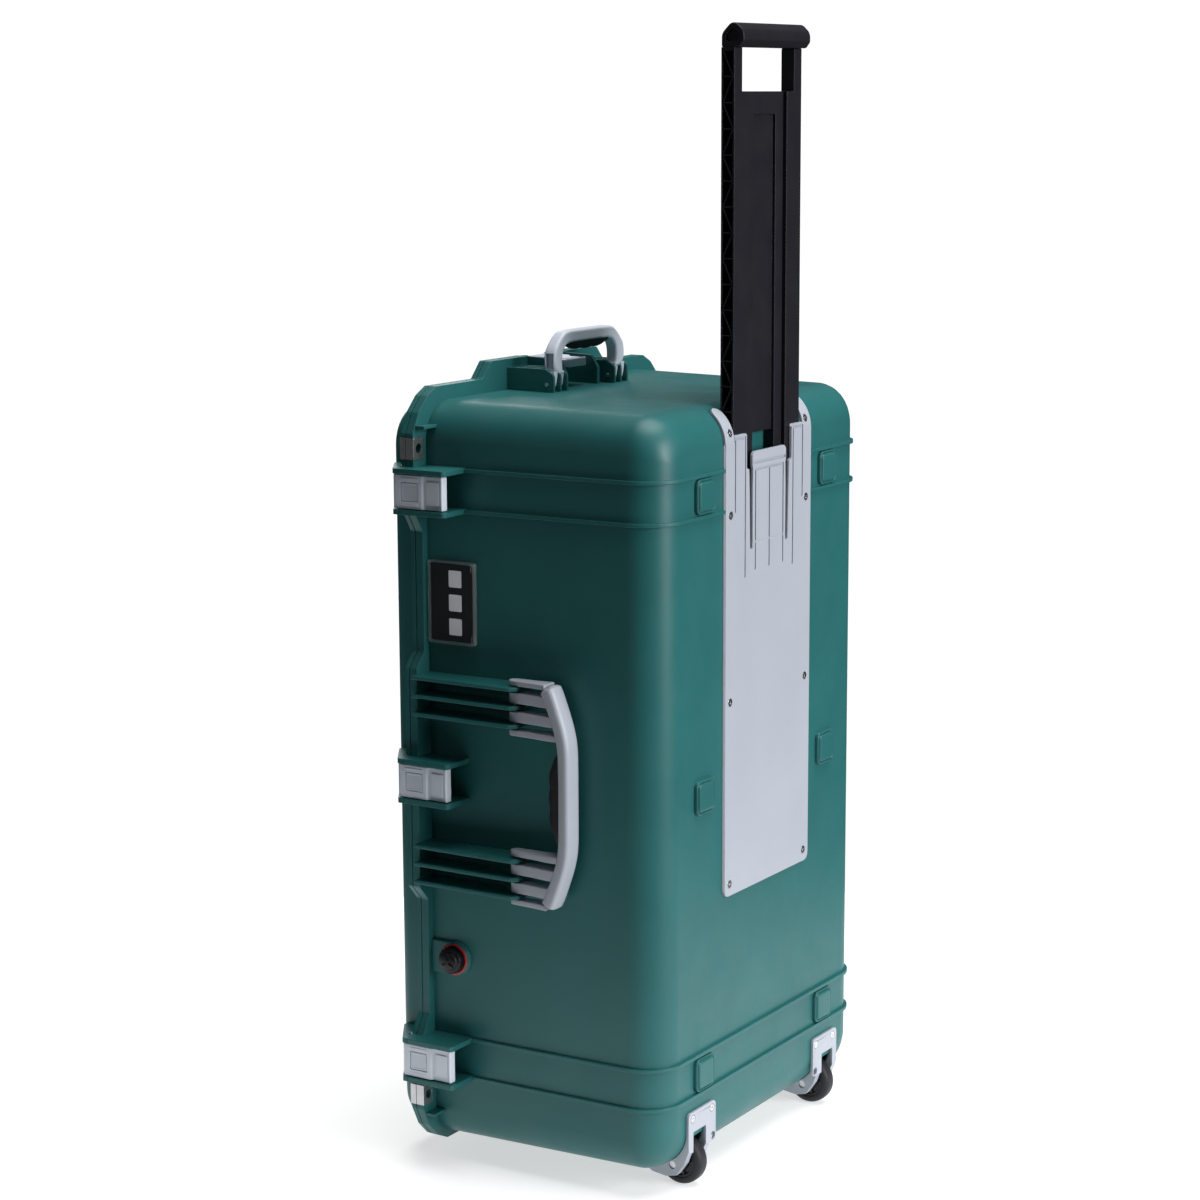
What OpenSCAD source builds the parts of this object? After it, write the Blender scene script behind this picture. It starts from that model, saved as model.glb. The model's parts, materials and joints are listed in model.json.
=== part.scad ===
// Hard equipment case that stands on its wheel end, with a pull-out trolley handle.
// +Z is up along the case's length, +X is the side with the trolley, -X is the lid,
// -Y is the long front with the carry handle, +Y is the hinge side.
// The origin is at the middle of the footprint, on the floor.

/* [Case] */
// Height from the floor to the top of the end flange
case_h = 812; // [808:1:818]
// Length of the base walls, end to end
base_l = 759.5; // [758:0.5:760]
// Width of the base walls
base_w = 431; // [429:1:433]
// Depth of the base, from the parting face to the back
base_d = 272; // [270:1:276]
// Depth of the lid
lid_d = 40; // [36:1:48]
// Thickness of the moulded walls
wall = 4.5; // [3.5:0.1:5]
// How far the shell edges are rounded at the back
edge_r = 37; // [30:1:40]
// Corner radius of the shells seen from the lid
corner_r = 38; // [34:1:44]

/* [Wheels] */
// Wheel radius
wheel_r = 25; // [23:0.5:25]
// Tyre width
wheel_w = 19; // [16:0.5:20]
// Distance of each wheel from the middle of the case
wheel_y = 136.8; // [134:0.2:140]

/* [Trolley] */
// Height of the grip's top when pulled out
trolley_top = 1144.5; // [1100:0.5:1150]
// Travel of the trolley
trolley_travel = 368; // [300:1:368]
// Half the width of the trolley
trolley_y = 67.8; // [66:0.2:68]

/* [Latches] */
// Height of a latch across its fins
latch_h = 33.4; // [30:0.2:34]
// Length of a latch's pull plate
latch_l = 56; // [50:1:58]

/* [Hidden] */
$fn = 48;
mid_z = case_h / 2;
// The walls sit a little lower than the flange, whose lugs stand the case on the floor
body_z = mid_z - 4.7;
back_x = 151;
part_x = back_x - base_d;
lid_x = part_x - lid_d;
draft = 6;
end_draft = 3;
// Heights where the rounding of the top and bottom back edges starts
top_arc_z = body_z + base_l / 2 - end_draft - edge_r;
bottom_arc_z = body_z - base_l / 2 + end_draft + edge_r;
flange_t = 8.4;
lid_flange_t = 6;
zone_y = 237;
set_y = 223.5;
zone_z = case_h / 2;
set_z = zone_z - 17;
edge_steps = 6;
// Where the side walls and the end walls take over from the back
side_y = 196;
end_dz = 348;
lid_edge_r = 18;
seal_w = 219;
seal_l = 381.25;
seal_t = 4;
rib_half = 1.8;
// Latches: outer face distance, middle heights, pivot
latch_out_y = 250;
latch_out_z = zone_z - 1.5;
latch_dz = 290.5;
latch_t = 10;
end_latch_l = latch_l - 4;
pivot_u = -7;
pivot_v = -14;
boss_r = 5.5;
pin_r = 2;
run_fit = 0.06;
// Main handle
handle_x = 1;
handle_y = -231;
handle_half = 113.5;
handle_out_x = 72;
handle_in_x = 50;
fin_dz = [104.5, 86, 67.5];
fin_t = 3.6;
fin_out_y = 245;
// End handle
end_x = -64;
end_z = 788;
end_top = 841;
end_half = 68.3;
end_fin_y = [70.5, 58, 46];
// Hinge
hinge_y = 243;
knuckle_r = 6.5;
hinge_dz = [-308, 308];
knuckle_l = 12;
hinge_pin_r = 2.5;
// Trolley channel and plate
stem_x0 = 135.7;
stem_x1 = 150.4;
channel_x = 134.6;
channel_y = 69.4;
channel_z0 = 290;
plate_x1 = 154;
plate_y = 88.4;
plate_z0 = 285.7;
guide_top = 749;
tab_top = 729;
tab_z0 = 640;
tab_half = 34.5;
plate_screw_y = 77.8;
plate_screw_z = [671, 484, 298];
wing_screw_a = 16;
grip_z0 = trolley_top - 23;
stem_z0 = 670;
web_y = 38;
web_top = grip_z0 - 41.8;
// Wheels
wheel_x = 134.8;
bracket_half = 27;
screw_r = 2.4;
// Valve and label
valve_x = -85;
valve_z = mid_z - 187;
valve_boss_r = 17;
label_x0 = -110;
label_x1 = -54;
label_z0 = mid_z + 137;
label_z1 = mid_z + 220;
lock_z = 331;
lock_y = -229;
lock_r = 4.8;

function arc(cx, cy, r, a0, a1, n) =
    [for (i = [0:n]) let (a = a0 + (a1 - a0) * i / n) [cx + r * cos(a), cy + r * sin(a)]];
function rounded(hw, hh, r, n = 6) = concat(
    arc(hw - r, hh - r, r, 0, 90, n), arc(r - hw, hh - r, r, 90, 180, n),
    arc(r - hw, r - hh, r, 180, 270, n), arc(hw - r, r - hh, r, 270, 360, n));
// One quarter of the flange outline, from the middle of the side to the middle of the end
function flange_quarter(sy, sz) = [for (p = [
    [zone_y, 0], [zone_y, 112], [set_y, 127], [set_y, 248], [zone_y, 270], [zone_y, 346],
    [227, 366], [212, 381], [196, set_z], [116, set_z], [100, zone_z], [28.5, zone_z],
    [28.5, set_z], [0, set_z]]) [p[0] * sy, p[1] * sz]];
function flip(list) = [for (i = [len(list) - 1:-1:0]) list[i]];
// Points (x, distance from the middle) turned to the upper end, e = 1, or the lower, e = -1
function at_end(e, points) = [for (p = points) [p[0], mid_z + e * p[1]]];

module yz(x, h) { translate([x, 0, 0]) rotate([90, 0, 90]) linear_extrude(h) children(); }
module xz(y, h) { translate([0, y + h, 0]) rotate([90, 0, 0]) linear_extrude(h) children(); }
module rod(p, d, r, l) {
    turn = d == 0 ? [0, 90, 0] : d == 1 ? [-90, 0, 0] : [0, 0, 0];
    translate(p) rotate(turn) translate([0, 0, -l / 2]) cylinder(h = l, r = r);
}
module block(lo, hi) { translate(lo) cube(hi - lo); }
module section(x, hw, hh, r) {
    yz(x, 0.01) translate([0, body_z]) polygon(rounded(hw, hh, r));
}
// Drafted, round-edged block; grow is the offset from the base's outer surface
module tub(grow) {
    hull() {
        section(part_x, base_w / 2 + grow, base_l / 2 + grow, corner_r + grow);
        for (i = [0:edge_steps]) {
            a = 90 * i / edge_steps;
            r = edge_r + grow;
            inset = r * (1 - cos(a));
            section(back_x + grow - 0.01 - r * (1 - sin(a)), base_w / 2 - draft + grow - inset,
                base_l / 2 - end_draft + grow - inset, corner_r + grow - inset * 0.7);
        }
    }
}
module tray(grow) {
    hull() {
        section(part_x - 0.01, base_w / 2 - 2 + grow, base_l / 2 - 3 + grow, corner_r + grow);
        for (i = [0:edge_steps]) {
            a = 90 * i / edge_steps;
            r = lid_edge_r + grow;
            inset = r * (1 - cos(a));
            section(lid_x - grow + r * (1 - sin(a)), base_w / 2 - 4 + grow - inset,
                base_l / 2 - 5 + grow - inset, corner_r + grow - inset * 0.7);
        }
    }
}
module flange_outline() {
    a = flange_quarter(1, 1);
    b = flange_quarter(-1, 1);
    c = flange_quarter(-1, -1);
    d = flange_quarter(1, -1);
    translate([0, mid_z]) polygon(concat(a, flip(b), c, flip(d)));
}
// Places a latch: u along +X from the parting face, v outwards, w across
module latch_frame(which) {
    if (which < 3)
        translate([part_x, -latch_out_y, mid_z + latch_dz * (1 - which)]) rotate([90, 0, 0]) children();
    if (which == 3)
        translate([part_x, 0, mid_z + latch_out_z]) children();
    if (which == 4)
        translate([part_x, 0, mid_z - latch_out_z]) mirror([0, 0, 1]) children();
}
module wheel_side(rear) { if (rear) mirror([0, 1, 0]) children(); else children(); }

module latch_ledges(base_side) {
    gap = 17.7;
    for (k = [0:2]) for (s = [-1, 1])
        translate([0, 0, mid_z + latch_dz * (1 - k) + s * (gap + 2.5) - 2.5]) linear_extrude(5)
            if (base_side)
                polygon([[part_x, -210], [part_x, -252], [-69, -252], [-67, -250], [-67, -205]]);
            else
                polygon([[part_x, -208], [part_x, -252], [part_x - 6, -252], [part_x - 30, -216],
                    [part_x - 30, -208]]);
    for (e = [-1, 1]) for (s = [-1, 1])
        if (base_side)
            xz(s * 31 - 2.5, 5) polygon(at_end(e, [[part_x, zone_z - 36], [part_x, zone_z],
                [-75, zone_z - 2], [-67, zone_z - 14], [-67, zone_z - 36]]));
        else
            xz(s * 22.5 - 2.5, 5) polygon(at_end(e, [[part_x, zone_z - 44], [part_x, zone_z - 0.5],
                [part_x - 6, zone_z - 0.5], [part_x - 30, zone_z - 34], [part_x - 30, zone_z - 44]]));
}
module fin_blocks() {
    x0 = part_x + flange_t;
    for (s = [-1, 1]) for (d = fin_dz)
        translate([0, 0, mid_z + s * d - fin_t / 2]) linear_extrude(fin_t)
            polygon([[x0, -208], [x0, -fin_out_y], [2, -fin_out_y], [6, -242], [8, -238], [8, -206]]);
    for (s = [-1, 1]) for (y = end_fin_y)
        xz(s * y - 1.5, 3)
            polygon([[x0, 772], [x0, 804], [-66, 804], [-59, 801], [-55.5, 794], [-55.5, 772]]);
    // Gussets that lean from the flange to the end wall, beside the end latch
    for (s = [-1, 1])
        xz(s * 35.6 - 1.2, 2.4) polygon([[x0, 772], [x0, 797], [-84, 777], [-84, 772]]);
}
module pads() {
    for (s = [-1, 1]) for (d = [-290.5, -7, 290.5])
        yz(back_x - 1, 6) translate([s * 126, mid_z + d]) polygon(rounded(18, 17.4, 7, 4));
}
module each_knuckle(base_side) {
    for (d = hinge_dz) for (i = [-2:2])
        if ((i % 2 == 0) == base_side)
            translate([0, 0, mid_z + d + i * knuckle_l]) children();
}
module knuckles(base_side, r, extra = 0) {
    each_knuckle(base_side) rod([part_x, hinge_y, 0], 2, r, knuckle_l - 0.6 + extra);
}
module knuckle_webs(base_side) {
    x0 = part_x + (base_side ? 0.3 : -0.3);
    x1 = part_x + (base_side ? 5.5 : -5.5);
    half = knuckle_l / 2 - 0.3;
    each_knuckle(base_side) translate([0, 0, -half]) linear_extrude(2 * half)
        polygon([[x0, 232], [x0, hinge_y], [x1, hinge_y], [x1, 232]]);
}
module channel_cut() {
    block([channel_x, -channel_y, channel_z0], [back_x + 20, channel_y, case_h]);
}
module wheel_well(grow) {
    for (s = [-1, 1])
        block([wheel_x - wheel_r - 2.5 - grow, s * wheel_y - 12 - grow, 6],
            [back_x + 5 - grow, s * wheel_y + 12 + grow, 2 * wheel_r + 3 + grow]);
}
module base_cavity() {
    intersection() {
        tub(-wall);
        block([part_x - 1, -300, 0], [back_x - wall - 0.5, 300, case_h]);
    }
}
// Seat of the trolley plate, clear of the band ribs
module plate_seat() {
    block([back_x, -plate_y - 0.2, plate_z0 - 1], [back_x + 20, plate_y + 0.2, top_arc_z]);
}
module handle_bores() {
    for (s = [-1, 1]) {
        rod([handle_x, handle_y, mid_z + s * 86], 2, pin_r + run_fit, 60);
        rod([end_x, s * 58, end_z], 1, pin_r + run_fit, 40);
    }
}
module padlock_holes() {
    for (s = [-1, 1]) rod([part_x, lock_y, mid_z + s * lock_z], 0, lock_r, 40);
}
// The base is one moulding; its walls, flange, ledges, ribs and fins are drawn one by one
module base_back() {
    color("#1c4a4a") difference() {
        union() {
            intersection() {
                tub(0);
                block([part_x, -side_y, mid_z - end_dz], [200, side_y, mid_z + end_dz]);
            }
            pads();
        }
        base_cavity();
        channel_cut();
        plate_seat();
    }
}
module base_side_walls() {
    color("#1c4a4a") difference() {
        union() {
            intersection() {
                tub(0);
                for (y = [-300, side_y]) block([part_x, y, 0], [200, y + 300 - side_y, case_h]);
            }
            rod([valve_x, -213.5, valve_z], 1, valve_boss_r, 11);
            block([part_x + flange_t, -219, valve_z - valve_boss_r],
                [valve_x, -208, valve_z + valve_boss_r]);
        }
        base_cavity();
        rod([valve_x, -215, valve_z], 1, 8.1, 30);
    }
}
module base_end_walls() {
    color("#1c4a4a") difference() {
        union() {
            difference() {
                intersection() {
                    tub(0);
                    for (e = [-1, 1])
                        block([part_x, -side_y, mid_z + e * (end_dz + 50) - 50],
                            [200, side_y, mid_z + e * (end_dz + 50) + 50]);
                }
                base_cavity();
            }
            intersection() {
                tub(-0.5);
                wheel_well(wall);
            }
        }
        channel_cut();
        wheel_well(0);
        plate_seat();
    }
}
// Walls round the trolley channel, inside the back wall
module trolley_channel() {
    edge_y = channel_y + 5;
    color("#1c4a4a") difference() {
        intersection() {
            xz(-edge_y, 2 * edge_y) polygon([[channel_x - wall, channel_z0 - 5],
                [back_x - 1, channel_z0 - 5], [back_x - 1, top_arc_z], [back_x - 9, top_arc_z + 22],
                [channel_x - wall, top_arc_z + 33]]);
            base_cavity();
        }
        channel_cut();
    }
}
// A flange's ring without the lugs that stand out on both ends
module flange_ring(x, t) {
    intersection() {
        yz(x, t) flange_outline();
        block([x - 1, -300, mid_z - set_z], [x + t + 1, 300, mid_z + set_z]);
    }
}
module base_flange_ring() { flange_ring(part_x, flange_t); }
// Raised lugs of a flange on both ends; the lower two are feet
module end_lugs(x, t) {
    intersection() {
        yz(x, t) flange_outline();
        for (e = [-1, 1]) for (y = [-200, 28.5])
            block([x - 1, y, mid_z + e * (set_z + 10) - 10],
                [x + t + 1, y + 171.5, mid_z + e * (set_z + 10) + 10]);
    }
}
module base_flange() {
    color("#1c4a4a") difference() {
        union() {
            difference() {
                union() {
                    base_flange_ring();
                    knuckle_webs(true);
                }
                tub(0);
            }
            knuckles(true, knuckle_r);
        }
        knuckles(false, knuckle_r + 0.5, 1);
        for (d = hinge_dz) rod([part_x, hinge_y, mid_z + d], 2, hinge_pin_r + run_fit, 64);
        padlock_holes();
    }
}
module base_latch_ledges() {
    color("#1c4a4a") difference() {
        union() {
            latch_ledges(true);
            end_lugs(part_x, flange_t);
            for (s = [-1, 1])
                block([part_x + 4, -zone_y + 4, mid_z + s * 352 - 1.5],
                    [-102, -200, mid_z + s * 352 + 1.5]);
        }
        base_flange_ring();
        tub(0);
    }
}
module base_ribs() {
    color("#1c4a4a") difference() {
        intersection() {
            tub(3.3);
            for (d = [-310.5, -270, 270, 310.5])
                block([part_x + flange_t, -300, mid_z + d - rib_half],
                    [200, 300, mid_z + d + rib_half]);
        }
        tub(0);
        latch_ledges(true);
        plate_seat();
    }
}
module handle_fins() {
    color("#1c4a4a") difference() {
        fin_blocks();
        tub(0);
        handle_bores();
    }
}
// Room in the lid's flange for the latches' hooks and pivots
module latch_notches() {
    for (k = [0:2])
        block([part_x - 20, -260, mid_z + latch_dz * (1 - k) - 17.7],
            [part_x + 1, -229, mid_z + latch_dz * (1 - k) + 17.7]);
    for (k = [3:4]) latch_frame(k) {
        block([-20, -20, -17.5], [1, 20, 2]);
        rod([pivot_u, 0, pivot_v], 1, boss_r + 0.5, 40);
    }
}
module latch_pin_bores() {
    for (k = [0:4]) latch_frame(k) rod([pivot_u, 0, pivot_v], 1, pin_r + 0.02, 56);
}
module lid_shell() {
    color("#1c4a4a") difference() {
        union() {
            tray(0);
            difference() {
                flange_ring(part_x - lid_flange_t, lid_flange_t);
                latch_notches();
            }
            knuckle_webs(false);
            knuckles(false, knuckle_r);
        }
        tray_cavity();
        seal_ring(part_x - 3.2, 4, 0.1);
        knuckles(true, knuckle_r + 0.5, 1);
        for (d = hinge_dz) rod([part_x, hinge_y, mid_z + d], 2, hinge_pin_r + run_fit, 64);
        padlock_holes();
        latch_pin_bores();
    }
}
// The lid is one moulding too; these ledges hold the latches' pivots
module lid_latch_ledges() {
    color("#1c4a4a") difference() {
        union() {
            latch_ledges(false);
            end_lugs(part_x - lid_flange_t, lid_flange_t);
        }
        flange_ring(part_x - lid_flange_t, lid_flange_t);
        tray(0);
        latch_pin_bores();
    }
}
module tray_cavity() {
    intersection() {
        tray(-wall + 0.5);
        block([lid_x + wall, -300, 0], [part_x + 1, 300, case_h]);
    }
}
module seal_ring(x, t, grow) {
    yz(x, t) translate([0, body_z]) difference() {
        polygon(rounded(seal_w + grow, seal_l + grow, 40));
        polygon(rounded(seal_w - seal_t - grow, seal_l - seal_t - grow, 36));
    }
}
module lid_seal() { color("#202020") seal_ring(part_x - 3.1, 3, 0); }
module hinge_pins() {
    color("silver") for (d = hinge_dz) rod([part_x, hinge_y, mid_z + d], 2, hinge_pin_r, 59);
}
// Stainless plates round the padlock holes, folded over the flange's edge
module lock_plate(face_x, edge_x0, edge_x1) {
    for (s = [-1, 1]) difference() {
        z = mid_z + s * lock_z;
        union() {
            yz(face_x, 1) translate([lock_y - 0.2, z]) polygon(rounded(7.8, 11, 1.5, 4));
            block([edge_x0, -zone_y - 1, z - 10.5], [edge_x1, -zone_y, z + 10.5]);
        }
        rod([face_x, lock_y, z], 0, lock_r, 10);
    }
}
module base_lock_plates() {
    color("silver") lock_plate(part_x + flange_t, part_x + 0.3, part_x + flange_t + 1);
}
module lid_lock_plates() {
    color("silver") lock_plate(part_x - lid_flange_t - 1, part_x - lid_flange_t - 1, part_x - 0.3);
}

module latch(which) {
    l = which < 3 ? latch_l : end_latch_l;
    color("#9a9da6") latch_frame(which) difference() {
        translate([0, latch_h / 2, 0]) rotate([90, 0, 0]) linear_extrude(latch_h) union() {
            polygon([[-6, -1], [-5, 0], [23, 0], [25, -2], [l - 2, -2], [l - 1, -1], [l, -1.5],
                [l, -latch_t], [0, -latch_t], [-2, -14], [-12, -14], [-9.5, -4]]);
            translate([pivot_u, pivot_v]) circle(r = boss_r);
        }
        rod([pivot_u, 0, pivot_v], 1, pin_r + run_fit, 60);
        for (s = [-1, 1]) rod([pivot_u, s * (latch_h / 2 - 1), pivot_v], 1, 4.3, 6);
        block([1.6, -9.6, -7.4], [22.2, 9.6, 1]);
        translate([12, 0, -9.2]) cylinder(h = 3, r = 4.2);
    }
}
module button(which) {
    color("#8b8e98") latch_frame(which) block([2, -9.2, -5.2], [21.8, 9.2, -0.5]);
}
module button_spring(which) {
    color("gray") latch_frame(which) translate([12, 0, -8.6]) rotate_extrude()
        for (i = [0:1]) translate([3.2, i * 0.6]) circle(r = 0.4, $fn = 16);
}
module latch_pins() {
    color("silver") for (k = [0:4]) latch_frame(k) rod([pivot_u, 0, pivot_v], 1, pin_r, 48);
}
module latch_springs() {
    color("gray") for (k = [0:4]) latch_frame(k) for (s = [-1, 1])
        translate([pivot_u, s * (latch_h / 2 - 2) - 0.75, pivot_v]) rotate([-90, 0, 0])
            rotate_extrude() for (i = [0:1]) translate([3.1, i * 1.5 - 0.1]) circle(r = 0.85, $fn = 24);
}
// Carry handle on the long front, folded flat
module main_handle() {
    mid_arm = (handle_half + 56) / 2;
    half_arm = (handle_half - 56) / 2;
    color("#c3c8d2") difference() {
        union() {
            xz(handle_y - 12, 24) translate([0, mid_z]) polygon([[18, 56], [38, 56], [handle_in_x, 46],
                [handle_in_x, -46], [38, -56], [18, -56], [18, -handle_half], [43, -handle_half],
                [70, -64], [handle_out_x, -56], [handle_out_x, 56], [70, 64], [43, handle_half],
                [18, handle_half]]);
            for (s = [-1, 1]) {
                rod([handle_x, handle_y, mid_z + s * mid_arm], 2, 6.5, 2 * half_arm);
                block([handle_x, handle_y - 6.5, mid_z + s * mid_arm - half_arm],
                    [20, handle_y + 6.5, mid_z + s * mid_arm + half_arm]);
            }
        }
        for (s = [-1, 1]) for (d = fin_dz)
            block([-20, handle_y - 20, mid_z + s * d - 3.2], [33, handle_y + 20, mid_z + s * d + 3.2]);
        for (s = [-1, 1]) rod([handle_x, handle_y, mid_z + s * 86], 2, pin_r + run_fit, 70);
    }
}
module main_grip() {
    color("#18181a") xz(handle_y - 10, 20) translate([0, mid_z]) polygon(concat(
        [[handle_in_x, -45], [handle_in_x, 45]],
        [for (i = [0:32]) let (z = 45 - 90 * i / 32)
            [handle_in_x - 5 - 6.5 * (1 - pow(z / 45, 4)) - 1.6 * abs(cos(z * 8)), z]]));
}
module main_handle_pins() {
    color("silver") for (s = [-1, 1]) rod([handle_x, handle_y, mid_z + s * 86], 2, pin_r, 44);
}
// Small handle on the top end, standing up
module end_handle() {
    arm_y = (end_half + 48) / 2;
    half_arm = (end_half - 48) / 2;
    outer = [[end_half, 796], [end_half, 826], [46, end_top]];
    inner = [[40, 825], [48, 818], [48, 796]];
    right = concat(outer, [[0, end_top], [0, 825]], inner);
    color("#c3c8d2") difference() {
        union() {
            for (s = [-1, 1]) yz(end_x - 7, 14) polygon([for (p = right) [s * p[0], p[1]]]);
            for (s = [-1, 1]) {
                rod([end_x, s * arm_y, end_z], 1, 6.3, 2 * half_arm);
                block([end_x - 6.3, s * arm_y - half_arm, end_z],
                    [end_x + 6.3, s * arm_y + half_arm, 797]);
            }
        }
        for (s = [-1, 1]) {
            block([end_x - 20, s * 58 - 2.5, 770], [end_x + 20, s * 58 + 2.5, 808]);
            rod([end_x, s * 58, end_z], 1, pin_r + run_fit, 40);
        }
    }
}
module end_grip() {
    color("#18181a") yz(end_x - 6, 12) polygon(concat(
        [[39, 825], [-39, 825]],
        [for (i = [0:32]) let (y = -39 + 78 * i / 32)
            [y, 822 - 4.5 * (1 - pow(y / 39, 4)) - 1.2 * abs(cos(y * 8))]]));
}
module end_handle_pins() {
    color("silver") for (s = [-1, 1]) rod([end_x, s * 58, end_z], 1, pin_r, 30);
}
// Pull-out trolley, shown pulled out: two rails with a row of slanted pockets, and the web between them
module trolley_rails() {
    pitch = 24.8;
    bays = 16;
    x0 = stem_x0 + 1.8;
    x1 = stem_x1 - 2.2;
    color("#26262c") difference() {
        for (y = [-trolley_y, web_y])
            block([stem_x0, y, stem_z0], [stem_x1, y + trolley_y - web_y, grip_z0]);
        block([stem_x0 - 1, -52.5, web_top], [stem_x1 + 1, 52.5, grip_z0 + 1]);
        // Two three-cornered pockets a bay, parted by a diagonal that turns round from bay to bay
        for (y = [-80, 56]) xz(y, 24) for (i = [0:bays]) {
            hi = grip_z0 - 3 - i * pitch - 0.7;
            lo = hi - pitch + 1.4;
            a = i % 2 == 0 ? x0 : x1;
            b = x0 + x1 - a;
            way = sign(b - a);
            polygon([[a + way * 0.8, hi], [b, hi], [b, lo + 1.8]]);
            polygon([[a, hi - 1.8], [b - way * 0.8, lo], [a, lo]]);
        }
    }
}
module trolley_web() {
    color("#26262c") difference() {
        block([stem_x0, -web_y, stem_z0], [stem_x1 - 4, web_y, web_top]);
        block([stem_x1 - 7.3, -22, 690], [stem_x1 + 1, 22, web_top - 22.2]);
        block([stem_x0 - 1, -22, 690], [stem_x1 + 1, 22, 746]);
    }
}
module trolley_grip() {
    color("#26262c") xz(-trolley_y, 2 * trolley_y) polygon(concat(
        [[stem_x0, grip_z0], [stem_x1, grip_z0], [158, grip_z0]], arc(155.5, grip_z0 + 5, 5, -50, 0, 3),
        arc(149.5, trolley_top - 11, 11, 0, 90, 6), arc(stem_x0 + 12, trolley_top - 12, 12, 90, 180, 6)));
}
module trolley_plate() {
    arc_x = back_x - edge_r;
    color("#c3c8d2") difference() {
        union() {
            yz(back_x, plate_x1 - back_x) union() {
                translate([0, (plate_z0 + 735) / 2])
                    polygon(rounded(plate_y, (735 - plate_z0) / 2, 8, 4));
                translate([-plate_y, 700]) square([2 * plate_y, top_arc_z - 700]);
            }
            // Wings that follow the rounded top edge
            for (y = [-plate_y, 71]) xz(y, plate_y - 71) polygon(concat(
                arc(arc_x, top_arc_z, edge_r + 0.4, 0, 58, 8),
                flip(arc(arc_x, top_arc_z, edge_r + 3, 0, 58, 8))));
            // Guides in front of the stem's flanges
            for (y = [-71, 46]) block([back_x, y, 700], [plate_x1, y + 25, guide_top]);
        }
        // Mouth above and beside the release tab
        block([back_x - 1, -46, 714], [plate_x1 + 1, 46, 800]);
        block([back_x - 1, -71, guide_top], [plate_x1 + 1, 71, 800]);
        yz(back_x - 1, 6) polygon([[-36, tab_z0 - 1], [36, tab_z0 - 1], [40, 714], [40, 720],
            [-40, 720], [-40, 714]]);
        for (s = [-1, 1]) {
            for (z = plate_screw_z)
                translate([plate_x1, s * plate_screw_y, z]) rotate([0, 90, 0]) screw_hole();
            wing_screw_place(s) screw_hole();
        }
    }
}
module trolley_release_tab() {
    color("#c3c8d2") yz(back_x + 0.2, 2.2) polygon([[-tab_half, tab_z0], [tab_half, tab_z0],
        [tab_half - 1, tab_top - 3], [tab_half - 5, tab_top], [-tab_half + 5, tab_top],
        [-tab_half + 1, tab_top - 3]]);
}
// Top screws sit square to the rounded edge
module wing_screw_place(s) {
    translate([back_x - edge_r, s * plate_screw_y, top_arc_z]) rotate([0, 90 - wing_screw_a, 0])
        translate([0, 0, edge_r + 3]) children();
}
// Screw heads lie sunk in round seats, with a hexagon socket
module screw() {
    difference() {
        union() {
            translate([0, 0, -1.6]) cylinder(h = 1.5, r = 3.7);
            translate([0, 0, -2.9]) cylinder(h = 2, r = screw_r);
        }
        translate([0, 0, -1.1]) cylinder(h = 2, r = 1.6, $fn = 6);
    }
}
module screw_hole() {
    cylinder(h = 12, r = screw_r + 0.05, center = true);
    translate([0, 0, -1.6]) cylinder(h = 6, r = 4.2);
}
module plate_screws() {
    color("silver") for (s = [-1, 1]) {
        for (z = plate_screw_z) translate([plate_x1, s * plate_screw_y, z]) rotate([0, 90, 0]) screw();
        wing_screw_place(s) screw();
    }
}
// Wheel bracket that wraps round the bottom edge of the base
module bracket() {
    cx = back_x - edge_r;
    cz = bottom_arc_z;
    gap = edge_r + 0.5;
    y0 = -wheel_y - 21.8;
    color("#c3c8d2") difference() {
        union() {
            yz(back_x + 0.2, 3) translate([y0 + bracket_half, 60])
                polygon(rounded(bracket_half, 21, 5, 4));
            for (y = [y0, -wheel_y + 12.8])
                xz(y, 9) polygon(concat([[plate_x1 + 0.2, 64], [plate_x1 + 0.2, 42], [149, 28],
                    [140, 15], [128, 12], [112, 14], [102, 20], [100, cz - gap]],
                    arc(cx, cz, gap, -90, -5, 8)));
            block([102.5, y0 + 1, 18], [107.5, -wheel_y + 21, 23.5]);
        }
        rod([wheel_x, -wheel_y, wheel_r], 1, 4 + run_fit, 80);
        block([back_x - 2, -wheel_y - 12.4, 0], [200, -wheel_y + 12.4, 60]);
        for (y = [-13, 25])
            translate([back_x + 3.2, -wheel_y + y, 74]) rotate([0, 90, 0]) screw_hole();
        rod([back_x, -wheel_y + 26.6, 44.4], 0, 4.2, 30);
    }
}
module bracket_front() { bracket(); }
module bracket_rear() { wheel_side(true) bracket(); }
module bracket_screws() {
    color("silver") for (r = [false, true]) wheel_side(r)
        for (y = [-13, 25]) translate([back_x + 3.2, -wheel_y + y, 74]) rotate([0, 90, 0]) screw();
}
module axle(rear) {
    color("silver") wheel_side(rear) rod([wheel_x, -wheel_y, wheel_r], 1, 4, 40);
}
module tyre(rear) {
    color("#1b1b1f") wheel_side(rear) translate([wheel_x, -wheel_y, wheel_r]) rotate([90, 0, 0])
        rotate_extrude($fn = 96) difference() {
            polygon(concat([[17, -wheel_w / 2], [19, -wheel_w / 2]],
                arc(wheel_r - 6, -wheel_w / 2 + 6, 6, -90, 0, 6),
                arc(wheel_r - 6, wheel_w / 2 - 6, 6, 0, 90, 6), [[19, wheel_w / 2], [17, wheel_w / 2]]));
        }
}
module hub(rear) {
    color("#33363c") wheel_side(rear) translate([wheel_x, -wheel_y, wheel_r]) rotate([90, 0, 0])
        rotate_extrude($fn = 64) polygon([[8, -8], [17, -8], [17, 8], [8, 8]]);
}
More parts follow.
